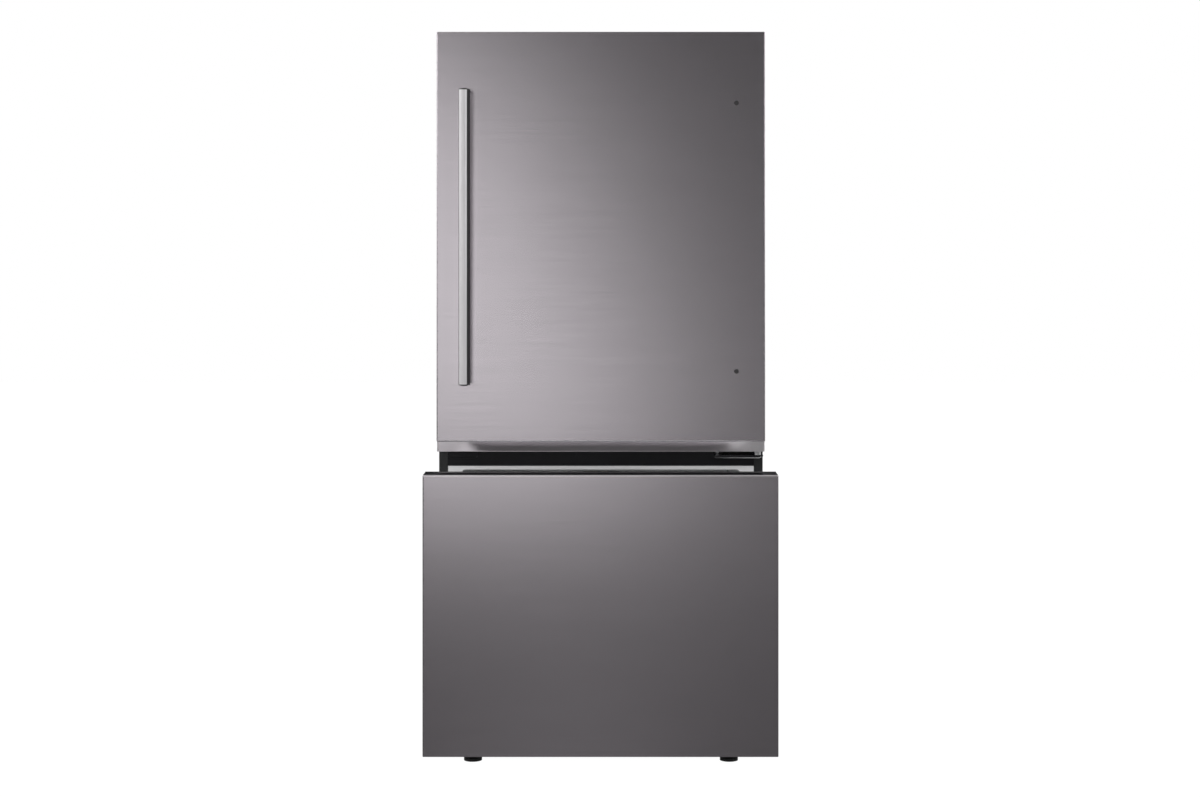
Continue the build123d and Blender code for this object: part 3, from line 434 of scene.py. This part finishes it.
def screw_heads(name, places, radius, material, body):
    """Domed cross-head screws whose heads look along +Y, or -Y for a negative height.

    Each row of a place is x, y, z and the head's height. A head is a grid of radius and
    angle: its height falls as the square of the radius, less a recess that is a plus of
    two grooves. The rim drops to the sheet, and the first and last rows are one point.
    """
    share = np.array([0.0, 0.12, 0.24, 0.36, 0.48, 0.66, 0.84, 0.96, 1.0, 0.0])[:, None]
    angle = np.linspace(0, 2 * np.pi, 32, endpoint=False)[None, :]
    across, up = share * np.cos(angle), share * np.sin(angle)
    height = 1 - 0.55 * share**2 + 0 * angle
    groove = (np.minimum(abs(across), abs(up)) < 0.11) & (share < 0.6)
    height = np.where(groove, height - 0.45, height)
    height[-2:] = 0.0
    x, y, z, tall = np.array(places).T[:, :, None, None]
    heads = np.stack([x + radius * across * np.sign(tall), y + tall * height, z + radius * up], -1)
    made = new_piece(name, heads, repeated(len(places), *height.shape))
    made.data.materials.append(material)
    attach(made, body)
    return made


screw_steel = pebbled(
    "zinc_screw_steel",
    dark=(0.50, 0.50, 0.49),
    light=(0.62, 0.62, 0.60),
    roughness=0.34,
    size=0.0008,
    lift=0.00001,
    metallic=1.0,
)
rear_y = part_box("rear_panel")[1].y
head_radius, head_high = 0.0045, 0.0022
panel_sides = [(x, z) for x in (-0.362, 0.362) for z in (0.33, 0.66, 1.0, 1.34, 1.66)]
panel_ends = [(x, z) for x in (-0.18, 0.0, 0.18) for z in (0.305, 1.665)]
cover_rows = [(x, z) for x in (-0.355, -0.12, 0.12, 0.355) for z in (0.045, 0.272)]
places = [(x, rear_y, z, head_high) for x, z in panel_sides + panel_ends + cover_rows]
back_screws = screw_heads(
    "back_screws", places, radius=head_radius, material=screw_steel, body="cabinet"
)


# ---------------------------------------------------------------- foam
# The walls, door and drawer front are filled with poured polyurethane foam, cream and
# full of fine cells. It is sealed in; the slit round each mouth is closed by black tape.


def poured_foam(name):
    """Foam with a cloudy colour and a surface of small cells."""
    material, tree, shader = new_material(name)
    place = object_place(tree)
    cells = add(tree, "TexVoronoi", {"Vector": place, "Scale": 700.0}, feature="F1")
    skin = use_group(tree, pebble, Vector=place, Size=0.01)
    cloud = spread(tree, skin.outputs["Cloud"], 0, 1)
    colour = tint(tree, cloud, (0.70, 0.60, 0.40), (0.80, 0.71, 0.52))
    tree.links.new(colour, shader.inputs["Base Color"])
    rough = spread(tree, skin.outputs["Pebble"], 0.85, 0.95)
    tree.links.new(rough, shader.inputs["Roughness"])
    bump(tree, shader, cells.outputs["Distance"], 0.0004)
    return material, tree


taped_foam, tree = poured_foam("taped_foam")
depth = add(tree, "SeparateXYZ", {0: object_place(tree)}).outputs["Y"]
case_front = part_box("outer_case")[0].y
tape_back = case_front + 0.012
taped = ramp(tree, depth, tape_back, tape_back - 0.002)
overlay(taped_foam, taped, (0.008, 0.008, 0.009), roughness=0.6, metallic=0.0)
dress(taped_foam, "cabinet_insulation")
dress(poured_foam("poured_foam")[0], "door_insulation", "drawer_insulation")


# ---------------------------------------------------------------- liners
# Both tubs and the door liners are white sheet plastic, drawn over a mould by vacuum:
# glossy, with the mould's soft ripple. Ducts, shelf frames and basket are moulded alike.
liner_white = pebbled(
    "white_liner_plastic",
    dark=(0.73, 0.73, 0.735),
    light=(0.79, 0.79, 0.795),
    roughness=0.22,
    size=0.02,
    lift=0.0001,
)
dress(
    liner_white,
    "fridge_liner",
    "freezer_liner",
    "door_liner",
    "drawer_liner",
    "fridge_duct_panel",
    "freezer_duct_cover",
    "control_panel",
    "shelf_frames",
    "crisper_frame",
    "dairy_bin",
    "freezer_basket",
)


# ---------------------------------------------------------------- mullion cover
# A black moulded strip snaps over the front of the wall between the compartments. The
# raised pad at its left covers the screw holes of the hinge for the other hand.
trim_black = pebbled(
    "black_trim_plastic",
    dark=(0.003, 0.003, 0.0048),
    light=(0.0045, 0.0045, 0.0068),
    roughness=0.36,
    size=0.0007,
    lift=0.00002,
)
trim_black.node_tree.nodes["Principled BSDF"].inputs["Specular IOR Level"].default_value = 0.3
dress(trim_black, "mullion_cover")


# ---------------------------------------------------------------- hinges
# The door turns between a zinc plated plate on the roof, under a black hood, and a
# painted steel shelf that is screwed to the mullion and carries the lower pin. The
# drawer's slides are rolled from the same plated steel as the plate.
zinc_plate = pebbled(
    "zinc_plated_steel",
    dark=(0.50, 0.51, 0.52),
    light=(0.64, 0.65, 0.66),
    roughness=0.30,
    size=0.0015,
    lift=0.00002,
    metallic=1.0,
)
hinge_paint = pebbled(
    "black_hinge_paint",
    dark=(0.010, 0.010, 0.012),
    light=(0.014, 0.014, 0.016),
    roughness=0.20,
    size=0.001,
    lift=0.00001,
)
dress(zinc_plate, "top_hinge_bracket", "outer_rails", "mid_rails", "inner_rails")
tree = hinge_paint.node_tree
spot = add(tree, "SeparateXYZ", {0: object_place(tree)})
facing = add(tree, "SeparateXYZ", {0: add(tree, "TexCoord").outputs["Normal"]})
hinge_low, hinge_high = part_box("middle_hinge_bracket")
# Above the shelf and ahead of its root, the pin and its collar are bare steel.
shelf_top, root_y = hinge_low.z + 0.0112, case_front - 0.0250
above = ramp(tree, spot.outputs["Z"], shelf_top, shelf_top + 0.0002)
ahead = ramp(tree, spot.outputs["Y"], root_y, root_y - 0.0002)
overlay(hinge_paint, both(tree, above, ahead), (0.66, 0.66, 0.67), roughness=0.3, metallic=0.9)
# Painted highlight: the rounded lower edge is painted near white, brighter toward the hinge's
# outer end.
rounded = ramp(tree, facing.outputs["Z"], -0.10, -0.45)
edge_x = ramp(tree, spot.outputs["X"], hinge_low.x - 0.02, hinge_high.x - 0.02)
below = ramp(tree, spot.outputs["Z"], hinge_low.z + 0.0065, hinge_low.z + 0.0060)
painted_edge_highlight = both(tree, both(tree, rounded, edge_x), below)
overlay(hinge_paint, painted_edge_highlight, (0.95, 0.95, 0.97), roughness=0.35, metallic=0.1)
dress(hinge_paint, "middle_hinge_bracket")
hood_black = pebbled(
    "black_hood_plastic",
    dark=(0.016, 0.016, 0.018),
    light=(0.022, 0.022, 0.024),
    roughness=0.45,
    size=0.0009,
    lift=0.00005,
    dusty=0.2,
)
dress(
    hood_black,
    "top_hinge_cover",
    "base_grille",
    "door_top_cap",
    "cord_inlet",
    "condenser_fan_bracket",
    "condenser_fan",
    "drain_pan",
)
# The hinge's screw head is painted near white: a painted glint of the light it catches.
glint_painted_zinc = pebbled(
    "glint_painted_zinc_screw",
    dark=(0.86, 0.86, 0.87),
    light=(0.93, 0.93, 0.94),
    roughness=0.4,
    size=0.0008,
    lift=0.00001,
    metallic=0.4,
)
plate_front = case_front - 0.0050
screw_place = (0.272, plate_front, 0.732, -0.0016)
hinge_screws = screw_heads(
    "hinge_screws", [screw_place], radius=0.0040, material=glint_painted_zinc, body="cabinet"
)


# ---------------------------------------------------------------- feet and rollers
# Two black moulded feet on zinc plated studs level the front, and two nylon rollers
# carry the back. A stud's thread is rolled, so its crests are round.
foot_black = pebbled(
    "black_foot_plastic",
    dark=(0.008, 0.008, 0.009),
    light=(0.013, 0.013, 0.014),
    roughness=0.5,
    size=0.001,
    lift=0.00004,
)
dress(foot_black, "levelling_legs")
nylon = pebbled(
    "natural_nylon",
    dark=(0.62, 0.60, 0.54),
    light=(0.72, 0.70, 0.64),
    roughness=0.38,
    size=0.0015,
    lift=0.00003,
)
dress(
    nylon,
    "rear_roller_right",
    "rear_roller_left",
    "racks",
    "sync_shaft",
    "evaporator_fan",
    "hinge_bushes",
)


def stud_thread(x, y, low, high, radius, pitch):
    """A rolled thread: radius plus a cosine of the height less the angle's share of a turn.

    The rows climb the stud and the columns go round it; both ends close onto the axis.
    """
    rows, columns = 90, 24
    z = np.linspace(low, high, rows)[:, None]
    angle = np.linspace(0, 2 * np.pi, columns, endpoint=False)[None, :]
    turn = 2 * np.pi * z / pitch - angle
    reach = radius + 0.0004 * np.cos(turn)
    reach[0] = reach[-1] = 0.0
    return np.stack([x + reach * np.cos(angle), y + reach * np.sin(angle), z + 0 * angle], -1)


legs_low, legs_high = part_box("levelling_legs")
foot_radius = 0.02135
stud_x, stud_y = legs_high.x - foot_radius, (legs_low.y + legs_high.y) / 2
stud_low, stud_high, stud_radius, pitch = 0.0232, 0.0408, 0.0052, 0.00175
studs = np.stack(
    [stud_thread(x, stud_y, stud_low, stud_high, stud_radius, pitch) for x in (-stud_x, stud_x)]
)
threads = new_piece("foot_threads", studs, repeated(len(studs), *studs.shape[1:3]))
threads.data.materials.append(screw_steel)
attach(threads, "cabinet")


# ---------------------------------------------------------------- machine compartment
# The compressor is a welded steel can sprayed satin black, and the condenser is a block
# of painted tube and fins. Dust from the room settles on both.
machine_black = pebbled(
    "black_machine_paint",
    dark=(0.012, 0.012, 0.013),
    light=(0.020, 0.020, 0.021),
    roughness=0.34,
    size=0.0018,
    lift=0.00006,
    dusty=0.5,
)
dress(machine_black, "compressor", "condenser_coil")


# ---------------------------------------------------------------- evaporator
# The cold coil is aluminium tube pressed through thin aluminium fins, and stands behind
# the freezer's duct cover. The fins are cut from rolled sheet, which is slightly uneven.
fin_metal, tree, shader = new_material("rolled_aluminium")
place = object_place(tree)
skin = use_group(tree, pebble, Vector=place, Size=0.003)
tree.links.new(
    tint(tree, spread(tree, skin.outputs["Cloud"], 0, 1), (0.66, 0.67, 0.69), (0.78, 0.79, 0.80)),
    shader.inputs["Base Color"],
)
tree.links.new(spread(tree, skin.outputs["Pebble"], 0.28, 0.42), shader.inputs["Roughness"])
shader.inputs["Metallic"].default_value = 1.0
bump(tree, shader, skin.outputs["Pebble"], 0.00003)
dress(fin_metal, "evaporator")


# ---------------------------------------------------------------- lamp and controls
# The ceiling lamp has a frosted lens. The control housing behind the door's top edge
# carries a black touch strip with a row of small lights.
lens, tree, shader = new_material("frosted_lens")
place = object_place(tree)
frost = use_group(tree, pebble, Vector=place, Size=0.0012)
tree.links.new(
    tint(tree, spread(tree, frost.outputs["Cloud"], 0, 1), (0.90, 0.92, 0.93), (0.96, 0.97, 0.97)),
    shader.inputs["Base Color"],
)
tree.links.new(spread(tree, frost.outputs["Pebble"], 0.4, 0.55), shader.inputs["Roughness"])
shader.inputs["Transmission Weight"].default_value = 0.7
shader.inputs["IOR"].default_value = 1.49
shader.inputs["Emission Color"].default_value = (1.0, 0.97, 0.9, 1)
shader.inputs["Emission Strength"].default_value = 0.6
bump(tree, shader, frost.outputs["Pebble"], 0.0001)
dress(lens, "lamp_cover")
lamp_low, lamp_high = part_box("lamp_cover")
lamp_x, lamp_y = (lamp_low.x + lamp_high.x) / 2, (lamp_low.y + lamp_high.y) / 2
softbox(
    "fridge_lamp", (lamp_x, lamp_y, lamp_low.z - 0.003), (lamp_x, lamp_y, 0.0), 0.15, 0.09, 1.6
)


def round_rectangle(half_x, half_z, radius, steps=8):
    """A rectangle with round corners, as x and z: a corner's centre plus the radius times
    the direction at an angle, which makes a quarter turn at each of the four corners."""
    angle = np.arange(4)[:, None] * np.pi / 2 + np.linspace(0, np.pi / 2, steps)[None, :]
    angle = angle.ravel()
    side_x = np.repeat([1.0, -1.0, -1.0, 1.0], steps)
    side_z = np.repeat([1.0, 1.0, -1.0, -1.0], steps)
    x = side_x * (half_x - radius) + radius * np.cos(angle)
    z = side_z * (half_z - radius) + radius * np.sin(angle)
    return x, z


def plate(x, y, z, half_x, half_z, radius, thick, edge):
    """A thin plate on a wall that faces -Y: rows of round rectangles from the middle of its
    back over the rim, whose corner is eased by the edge's width, to the middle of its front.
    """
    inset = np.array([1.0, 0.0, 0.0, 0.3, 1.0, 1.0])[:, None] * edge
    size = np.array([0.0, 1.0, 1.0, 1.0, 1.0, 0.0])[:, None]
    out = np.array([0.0, 0.0, thick - edge, thick - 0.3 * edge, thick, thick])[:, None]
    across, up = round_rectangle(half_x - inset, half_z - inset, radius - inset)
    return np.stack([x + size * across, y - out + 0 * across, z + size * up], axis=-1)


touch_glass = pebbled(
    "black_touch_glass",
    dark=(0.006, 0.006, 0.007),
    light=(0.009, 0.009, 0.010),
    roughness=0.09,
    size=0.002,
    lift=0.000002,
)
strip_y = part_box("control_panel")[0].y
strip_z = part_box("control_panel")[1].z - 0.014
strip_thick = 0.0006
strip = plate(
    0.0, strip_y, strip_z, half_x=0.112, half_z=0.008, radius=0.004, thick=strip_thick, edge=0.0003
)
touch_strip = new_piece("touch_strip", strip, repeated(1, *strip.shape[:2]))
touch_strip.data.materials.append(touch_glass)
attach(touch_strip, "cabinet")

# Five round marks shine on the strip, with a bar between each two of them.
mark_light = pebbled(
    "lit_mark",
    dark=(0.75, 0.80, 0.84),
    light=(0.85, 0.90, 0.93),
    roughness=0.3,
    size=0.001,
    lift=0.00001,
)
mark_shader = mark_light.node_tree.nodes["Principled BSDF"]
mark_shader.inputs["Emission Color"].default_value = (0.80, 0.92, 1.0, 1)
mark_shader.inputs["Emission Strength"].default_value = 1.5
mark_y, mark_step = strip_y - strip_thick, 0.022
dots = [(step * mark_step, 0.0022, 0.0022) for step in (-4, -2, 0, 2, 4)]
bars = [(step * mark_step, 0.0075, 0.0006) for step in (-3, -1, 1, 3)]
marks = np.stack(
    [
        plate(
            x,
            mark_y,
            strip_z,
            half_x=half_x,
            half_z=half_z,
            radius=half_z,
            thick=0.0002,
            edge=0.0001,
        )
        for x, half_x, half_z in dots + bars
    ]
)
touch_marks = new_piece("touch_marks", marks, repeated(len(marks), *marks.shape[1:3]))
touch_marks.data.materials.append(mark_light)
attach(touch_marks, "cabinet")


# ---------------------------------------------------------------- shelves and crispers
# Glass panes lie in white moulded frames. Glass is toughened and a little green in its
# depth; crispers, bins and tray are clear styrene, moulded with a faint swirl.


def pass_light(tree, shader):
    """Lets light fall through a clear material, as real glass hardly dims what is below."""
    path = add(tree, "LightPath")
    dull = add(
        tree,
        "Math",
        {0: path.outputs["Is Shadow Ray"], 1: path.outputs["Is Diffuse Ray"]},
        operation="MAXIMUM",
    )
    open_way = add(tree, "BsdfTransparent", {"Color": (0.93, 0.95, 0.94, 1)})
    mixed = add(
        tree, "MixShader", {"Fac": dull.outputs[0], 1: shader.outputs[0], 2: open_way.outputs[0]}
    )
    tree.links.new(mixed.outputs[0], tree.nodes["Material Output"].inputs["Surface"])


pane_glass, tree, shader = new_material("toughened_glass")
place = object_place(tree)
skin = use_group(tree, pebble, Vector=place, Size=0.05)
tree.links.new(
    tint(tree, spread(tree, skin.outputs["Cloud"], 0, 1), (0.86, 0.94, 0.90), (0.90, 0.96, 0.93)),
    shader.inputs["Base Color"],
)
tree.links.new(spread(tree, skin.outputs["Pebble"], 0.01, 0.03), shader.inputs["Roughness"])
shader.inputs["Transmission Weight"].default_value = 1.0
shader.inputs["IOR"].default_value = 1.5
pass_light(tree, shader)
dress(pane_glass, "glass_shelf_lower", "glass_shelf_upper", "crisper_cover")

styrene, tree, shader = new_material("clear_styrene")
place = object_place(tree)
skin = use_group(tree, pebble, Vector=place, Size=0.012)
tree.links.new(
    tint(tree, spread(tree, skin.outputs["Cloud"], 0, 1), (0.88, 0.93, 0.96), (0.93, 0.96, 0.98)),
    shader.inputs["Base Color"],
)
tree.links.new(spread(tree, skin.outputs["Pebble"], 0.05, 0.12), shader.inputs["Roughness"])
shader.inputs["Transmission Weight"].default_value = 0.92
shader.inputs["IOR"].default_value = 1.3
bump(tree, shader, skin.outputs["Pebble"], 0.00008)
pass_light(tree, shader)
dress(
    styrene,
    "crisper_right",
    "crisper_left",
    "door_bin_lower",
    "door_bin_middle",
    "door_bin_upper",
    "dairy_cover",
    "upper_tray",
)

# A satin aluminium strip is glued along each shelf's front edge.
trim_metal = pebbled(
    "satin_shelf_trim",
    dark=(0.62, 0.62, 0.63),
    light=(0.70, 0.70, 0.71),
    roughness=0.30,
    size=0.0006,
    lift=0.000005,
    metallic=1.0,
)
frames_low, frames_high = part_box("shelf_frames")
trim_half = frames_high.x - 0.012
panes = [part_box("glass_shelf_" + level)[1] for level in ("lower", "upper")]
trims = np.stack(
    [
        plate(
            0.0,
            frames_low.y,
            pane.z - 0.0070,
            half_x=trim_half,
            half_z=0.0040,
            radius=0.0038,
            thick=0.0008,
            edge=0.0005,
        )
        for pane in panes
    ]
)
shelf_trims = new_piece("shelf_trims", trims, repeated(len(trims), *trims.shape[1:3]))
shelf_trims.data.materials.append(trim_metal)
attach(shelf_trims, "cabinet")


# ---------------------------------------------------------------- brushed steel skins
# Door and drawer wear folded skins of dark stainless steel, 1 mm thick, brushed level in
# the mill and sealed with a thin clear coat, so fine lines run from side to side.

# Grain: noise drawn out along the brushing, once fine and once in wider bands.
grain, given, result = new_group(
    "brushed_grain",
    [("Vector", "Vector", None), ("Length", "Float", 0.03), ("Width", "Float", 0.0006)],
    [("Fine", "Float"), ("Bands", "Float")],
)
along = add(grain, "Math", {0: 1.0, 1: given.outputs["Length"]}, operation="DIVIDE")
across = add(grain, "Math", {0: 1.0, 1: given.outputs["Width"]}, operation="DIVIDE")
rate = add(
    grain,
    "CombineXYZ",
    {"X": along.outputs[0], "Y": across.outputs[0], "Z": across.outputs[0]},
)
stretched = add(
    grain,
    "VectorMath",
    {0: given.outputs["Vector"], 1: rate.outputs[0]},
    operation="MULTIPLY",
)
fine = add(
    grain,
    "TexNoise",
    {"Vector": stretched.outputs[0], "Scale": 1.0, "Detail": 4.0, "Roughness": 0.65},
)
bands = add(
    grain,
    "TexNoise",
    {"Vector": stretched.outputs[0], "Scale": 0.17, "Detail": 3.0, "Roughness": 0.6},
)
grain.links.new(fine.outputs["Fac"], result.inputs["Fine"])
grain.links.new(bands.outputs["Fac"], result.inputs["Bands"])


def brushed(name, dark, light, roughness, length, width, lift):
    """Brushed metal: grain in its colour, its roughness and, very shallow, its surface."""
    material, tree, shader = new_material(name)
    streaks = use_group(tree, grain, Vector=object_place(tree), Length=length, Width=width)
    fine, bands = streaks.outputs["Fine"], streaks.outputs["Bands"]
    mean = add(tree, "Math", {0: fine, 1: bands}, operation="ADD")
    mean = add(tree, "Math", {0: mean.outputs[0], 1: 0.5}, operation="MULTIPLY")
    shade = spread(tree, mean.outputs[0], 0.0, 1.0)
    tree.links.new(tint(tree, shade, dark, light), shader.inputs["Base Color"])
    rough = spread(tree, fine, roughness - 0.01, roughness + 0.01)
    tree.links.new(rough, shader.inputs["Roughness"])
    shader.inputs["Metallic"].default_value = 1.0
    shader.inputs["Anisotropic"].default_value = 0.4
    bump(tree, shader, fine, lift)
    return material


skin_steel = brushed(
    "dark_brushed_steel",
    dark=(0.487, 0.455, 0.481),
    light=(0.543, 0.505, 0.535),
    roughness=0.261,
    length=0.028,
    width=0.0011,
    lift=0.0000025,
)
tree = skin_steel.node_tree
spot = add(tree, "SeparateXYZ", {0: object_place(tree)})
door_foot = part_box("door_skin")[0].z
# Painted light: the set-back strip at the door's foot is painted paler, and palest at its lit
# hinge end.
strip_high = door_foot + 0.0242
hinge_end = ramp(tree, spot.outputs["X"], 0.28, 0.36)
over_foot = ramp(tree, spot.outputs["Z"], door_foot - 0.004, door_foot - 0.002)
under_bend = ramp(tree, spot.outputs["Z"], strip_high, strip_high - 0.0006)
in_strip = both(tree, over_foot, under_bend)
overlay(skin_steel, in_strip, (0.65, 0.61, 0.64), roughness=0.28, metallic=1.0)
overlay(
    skin_steel, both(tree, in_strip, hinge_end), (0.86, 0.83, 0.85), roughness=0.33, metallic=1.0
)


def paint_bend_highlight(low, high, colour, where=1.0):
    """Paints the skin brighter between two heights: a painted highlight along a bend."""
    above = ramp(tree, spot.outputs["Z"], low - 0.0008, low)
    under = ramp(tree, spot.outputs["Z"], high + 0.0006, high)
    overlay(
        skin_steel,
        both(tree, both(tree, above, under), where),
        colour,
        roughness=0.28,
        metallic=1.0,
    )


# Painted highlights along bends: the door's lower one, the strip's upper one along its hollow, and
# the drawer's upper one.
aside = add(tree, "Math", {0: spot.outputs["X"]}, operation="ABSOLUTE").outputs[0]
hollow = ramp(tree, aside, 0.34, 0.26)
paint_bend_highlight(strip_high, strip_high + 0.0030, (0.93, 0.88, 0.92))
paint_bend_highlight(strip_high - 0.0042, strip_high - 0.0006, (0.86, 0.82, 0.85), hollow)
drawer_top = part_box("drawer_skin")[1].z
paint_bend_highlight(drawer_top - 0.0030, drawer_top, (0.78, 0.74, 0.77))
dress(skin_steel, "door_skin", "drawer_skin")


# ---------------------------------------------------------------- handle
# The handle is an extruded bar with a broad bright front, brushed along its length and
# anodised pale, on two posts screwed through the skin from behind. Its grain stands
# upright, so it is short along X and long along the other two.
bar_metal = brushed(
    "pale_satin_bar",
    dark=(0.66, 0.645, 0.66),
    light=(0.76, 0.745, 0.76),
    roughness=0.42,
    length=0.0006,
    width=0.02,
    lift=0.000005,
)
bar_metal.node_tree.nodes["Principled BSDF"].inputs["Metallic"].default_value = 0.35
tree = bar_metal.node_tree
spot = add(tree, "SeparateXYZ", {0: object_place(tree)})
bar_low, bar_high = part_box("handle_bar")
# Painted shade: bevel toward the hinges, left rim and ends. Painted light: the paler back.
bevel_x, bevel_y = bar_high.x - 0.0068, bar_low.y + 0.0092
turned = ramp(tree, spot.outputs["X"], bevel_x - 0.0004, bevel_x + 0.0002)
in_front = ramp(tree, spot.outputs["Y"], bevel_y + 0.0002, bevel_y - 0.0002)
overlay(
    bar_metal, both(tree, turned, in_front), (0.018, 0.016, 0.018), roughness=0.45, metallic=0.0
)
# Painted shade along the left rim.
rim = ramp(tree, spot.outputs["X"], bar_low.x + 0.0022, bar_low.x + 0.0014)
overlay(bar_metal, rim, (0.25, 0.24, 0.25), roughness=0.45, metallic=0.2)
# Painted light on the back, which faces the door.
behind = ramp(tree, spot.outputs["Y"], bevel_y - 0.0002, bevel_y + 0.0002)
overlay(bar_metal, behind, (0.86, 0.84, 0.86), roughness=0.5, metallic=0.0)
# Painted shade on both ends.
middle_z, half_z = (bar_low.z + bar_high.z) / 2, (bar_high.z - bar_low.z) / 2
reach = add(tree, "Math", {0: spot.outputs["Z"], 1: -middle_z}, operation="ADD")
reach = add(tree, "Math", {0: reach.outputs[0]}, operation="ABSOLUTE").outputs[0]
at_ends = ramp(tree, reach, half_z - 0.0036, half_z - 0.0030)
overlay(bar_metal, at_ends, (0.05, 0.048, 0.05), roughness=0.5, metallic=0.0)
dress(bar_metal, "handle_bar")
post_metal = brushed(
    "pale_satin_post",
    dark=(0.60, 0.58, 0.60),
    light=(0.72, 0.70, 0.72),
    roughness=0.36,
    length=0.0006,
    width=0.02,
    lift=0.000005,
)
dress(post_metal, "handle_posts")
plug_grey = pebbled(
    "grey_plug_plastic",
    dark=(0.030, 0.028, 0.030),
    light=(0.040, 0.038, 0.040),
    roughness=0.4,
    size=0.0008,
    lift=0.00002,
)
dress(plug_grey, "hole_plugs")


# ---------------------------------------------------------------- seals
# Each door carries a grey vinyl seal with a magnet in its bulb and a folded bellows
# behind it, pushed into a groove of the liner all the way round.
seal_vinyl = pebbled(
    "grey_seal_vinyl",
    dark=(0.30, 0.30, 0.31),
    light=(0.36, 0.36, 0.37),
    roughness=0.5,
    size=0.0015,
    lift=0.00003,
)


def bellows_seal(name, node, body, half_width, corner):
    """A seal's ring, with the section of a bellows carried round a rectangle.

    Along the section the half width is the full one times 0.8 plus 0.2 of the cosine of two
    turns, less a little at the magnet's end, so it folds twice. Each point of the section
    runs on its own round rectangle, larger by its offset and with as much more radius.
    """
    depth = np.linspace(0, 1, 25)
    wide = half_width * (0.8 + 0.2 * np.cos(4 * np.pi * depth) - 0.12 * depth**14)
    offset = np.concatenate([-wide, wide[::-1]])[:, None]
    depth = np.concatenate([depth, depth[::-1]])[:, None]
    low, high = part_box(node)
    half_x = (high.x - low.x) / 2 - half_width + offset
    half_z = (high.z - low.z) / 2 - half_width + offset
    radius = np.maximum(corner - half_width + offset, 0.0003)
    x, z = round_rectangle(half_x, half_z, radius)
    x, z = x + (low.x + high.x) / 2, z + (low.z + high.z) / 2
    y = low.y + (high.y - low.y) * depth + 0 * x
    faces = grid_faces(len(offset), x.shape[1], close_u=True, close_v=True)
    made = new_piece(name, np.stack([x, y, z], axis=-1), faces)
    made.data.materials.append(seal_vinyl)
    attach(made, body)
    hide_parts(node)


seal_half_width, seal_corner = 0.009, 0.012
bellows_seal("door_seal", "door_gasket", "door", seal_half_width, seal_corner)
bellows_seal("drawer_seal", "drawer_gasket", "freezer_drawer", seal_half_width, seal_corner)


# ---------------------------------------------------------------- drawer cap
# The drawer's top edge is one black moulding with the long groove that serves as grip.
# It is let in between the folded skin and the liner, and foamed in with them.
dress(trim_black, "drawer_top_cap")
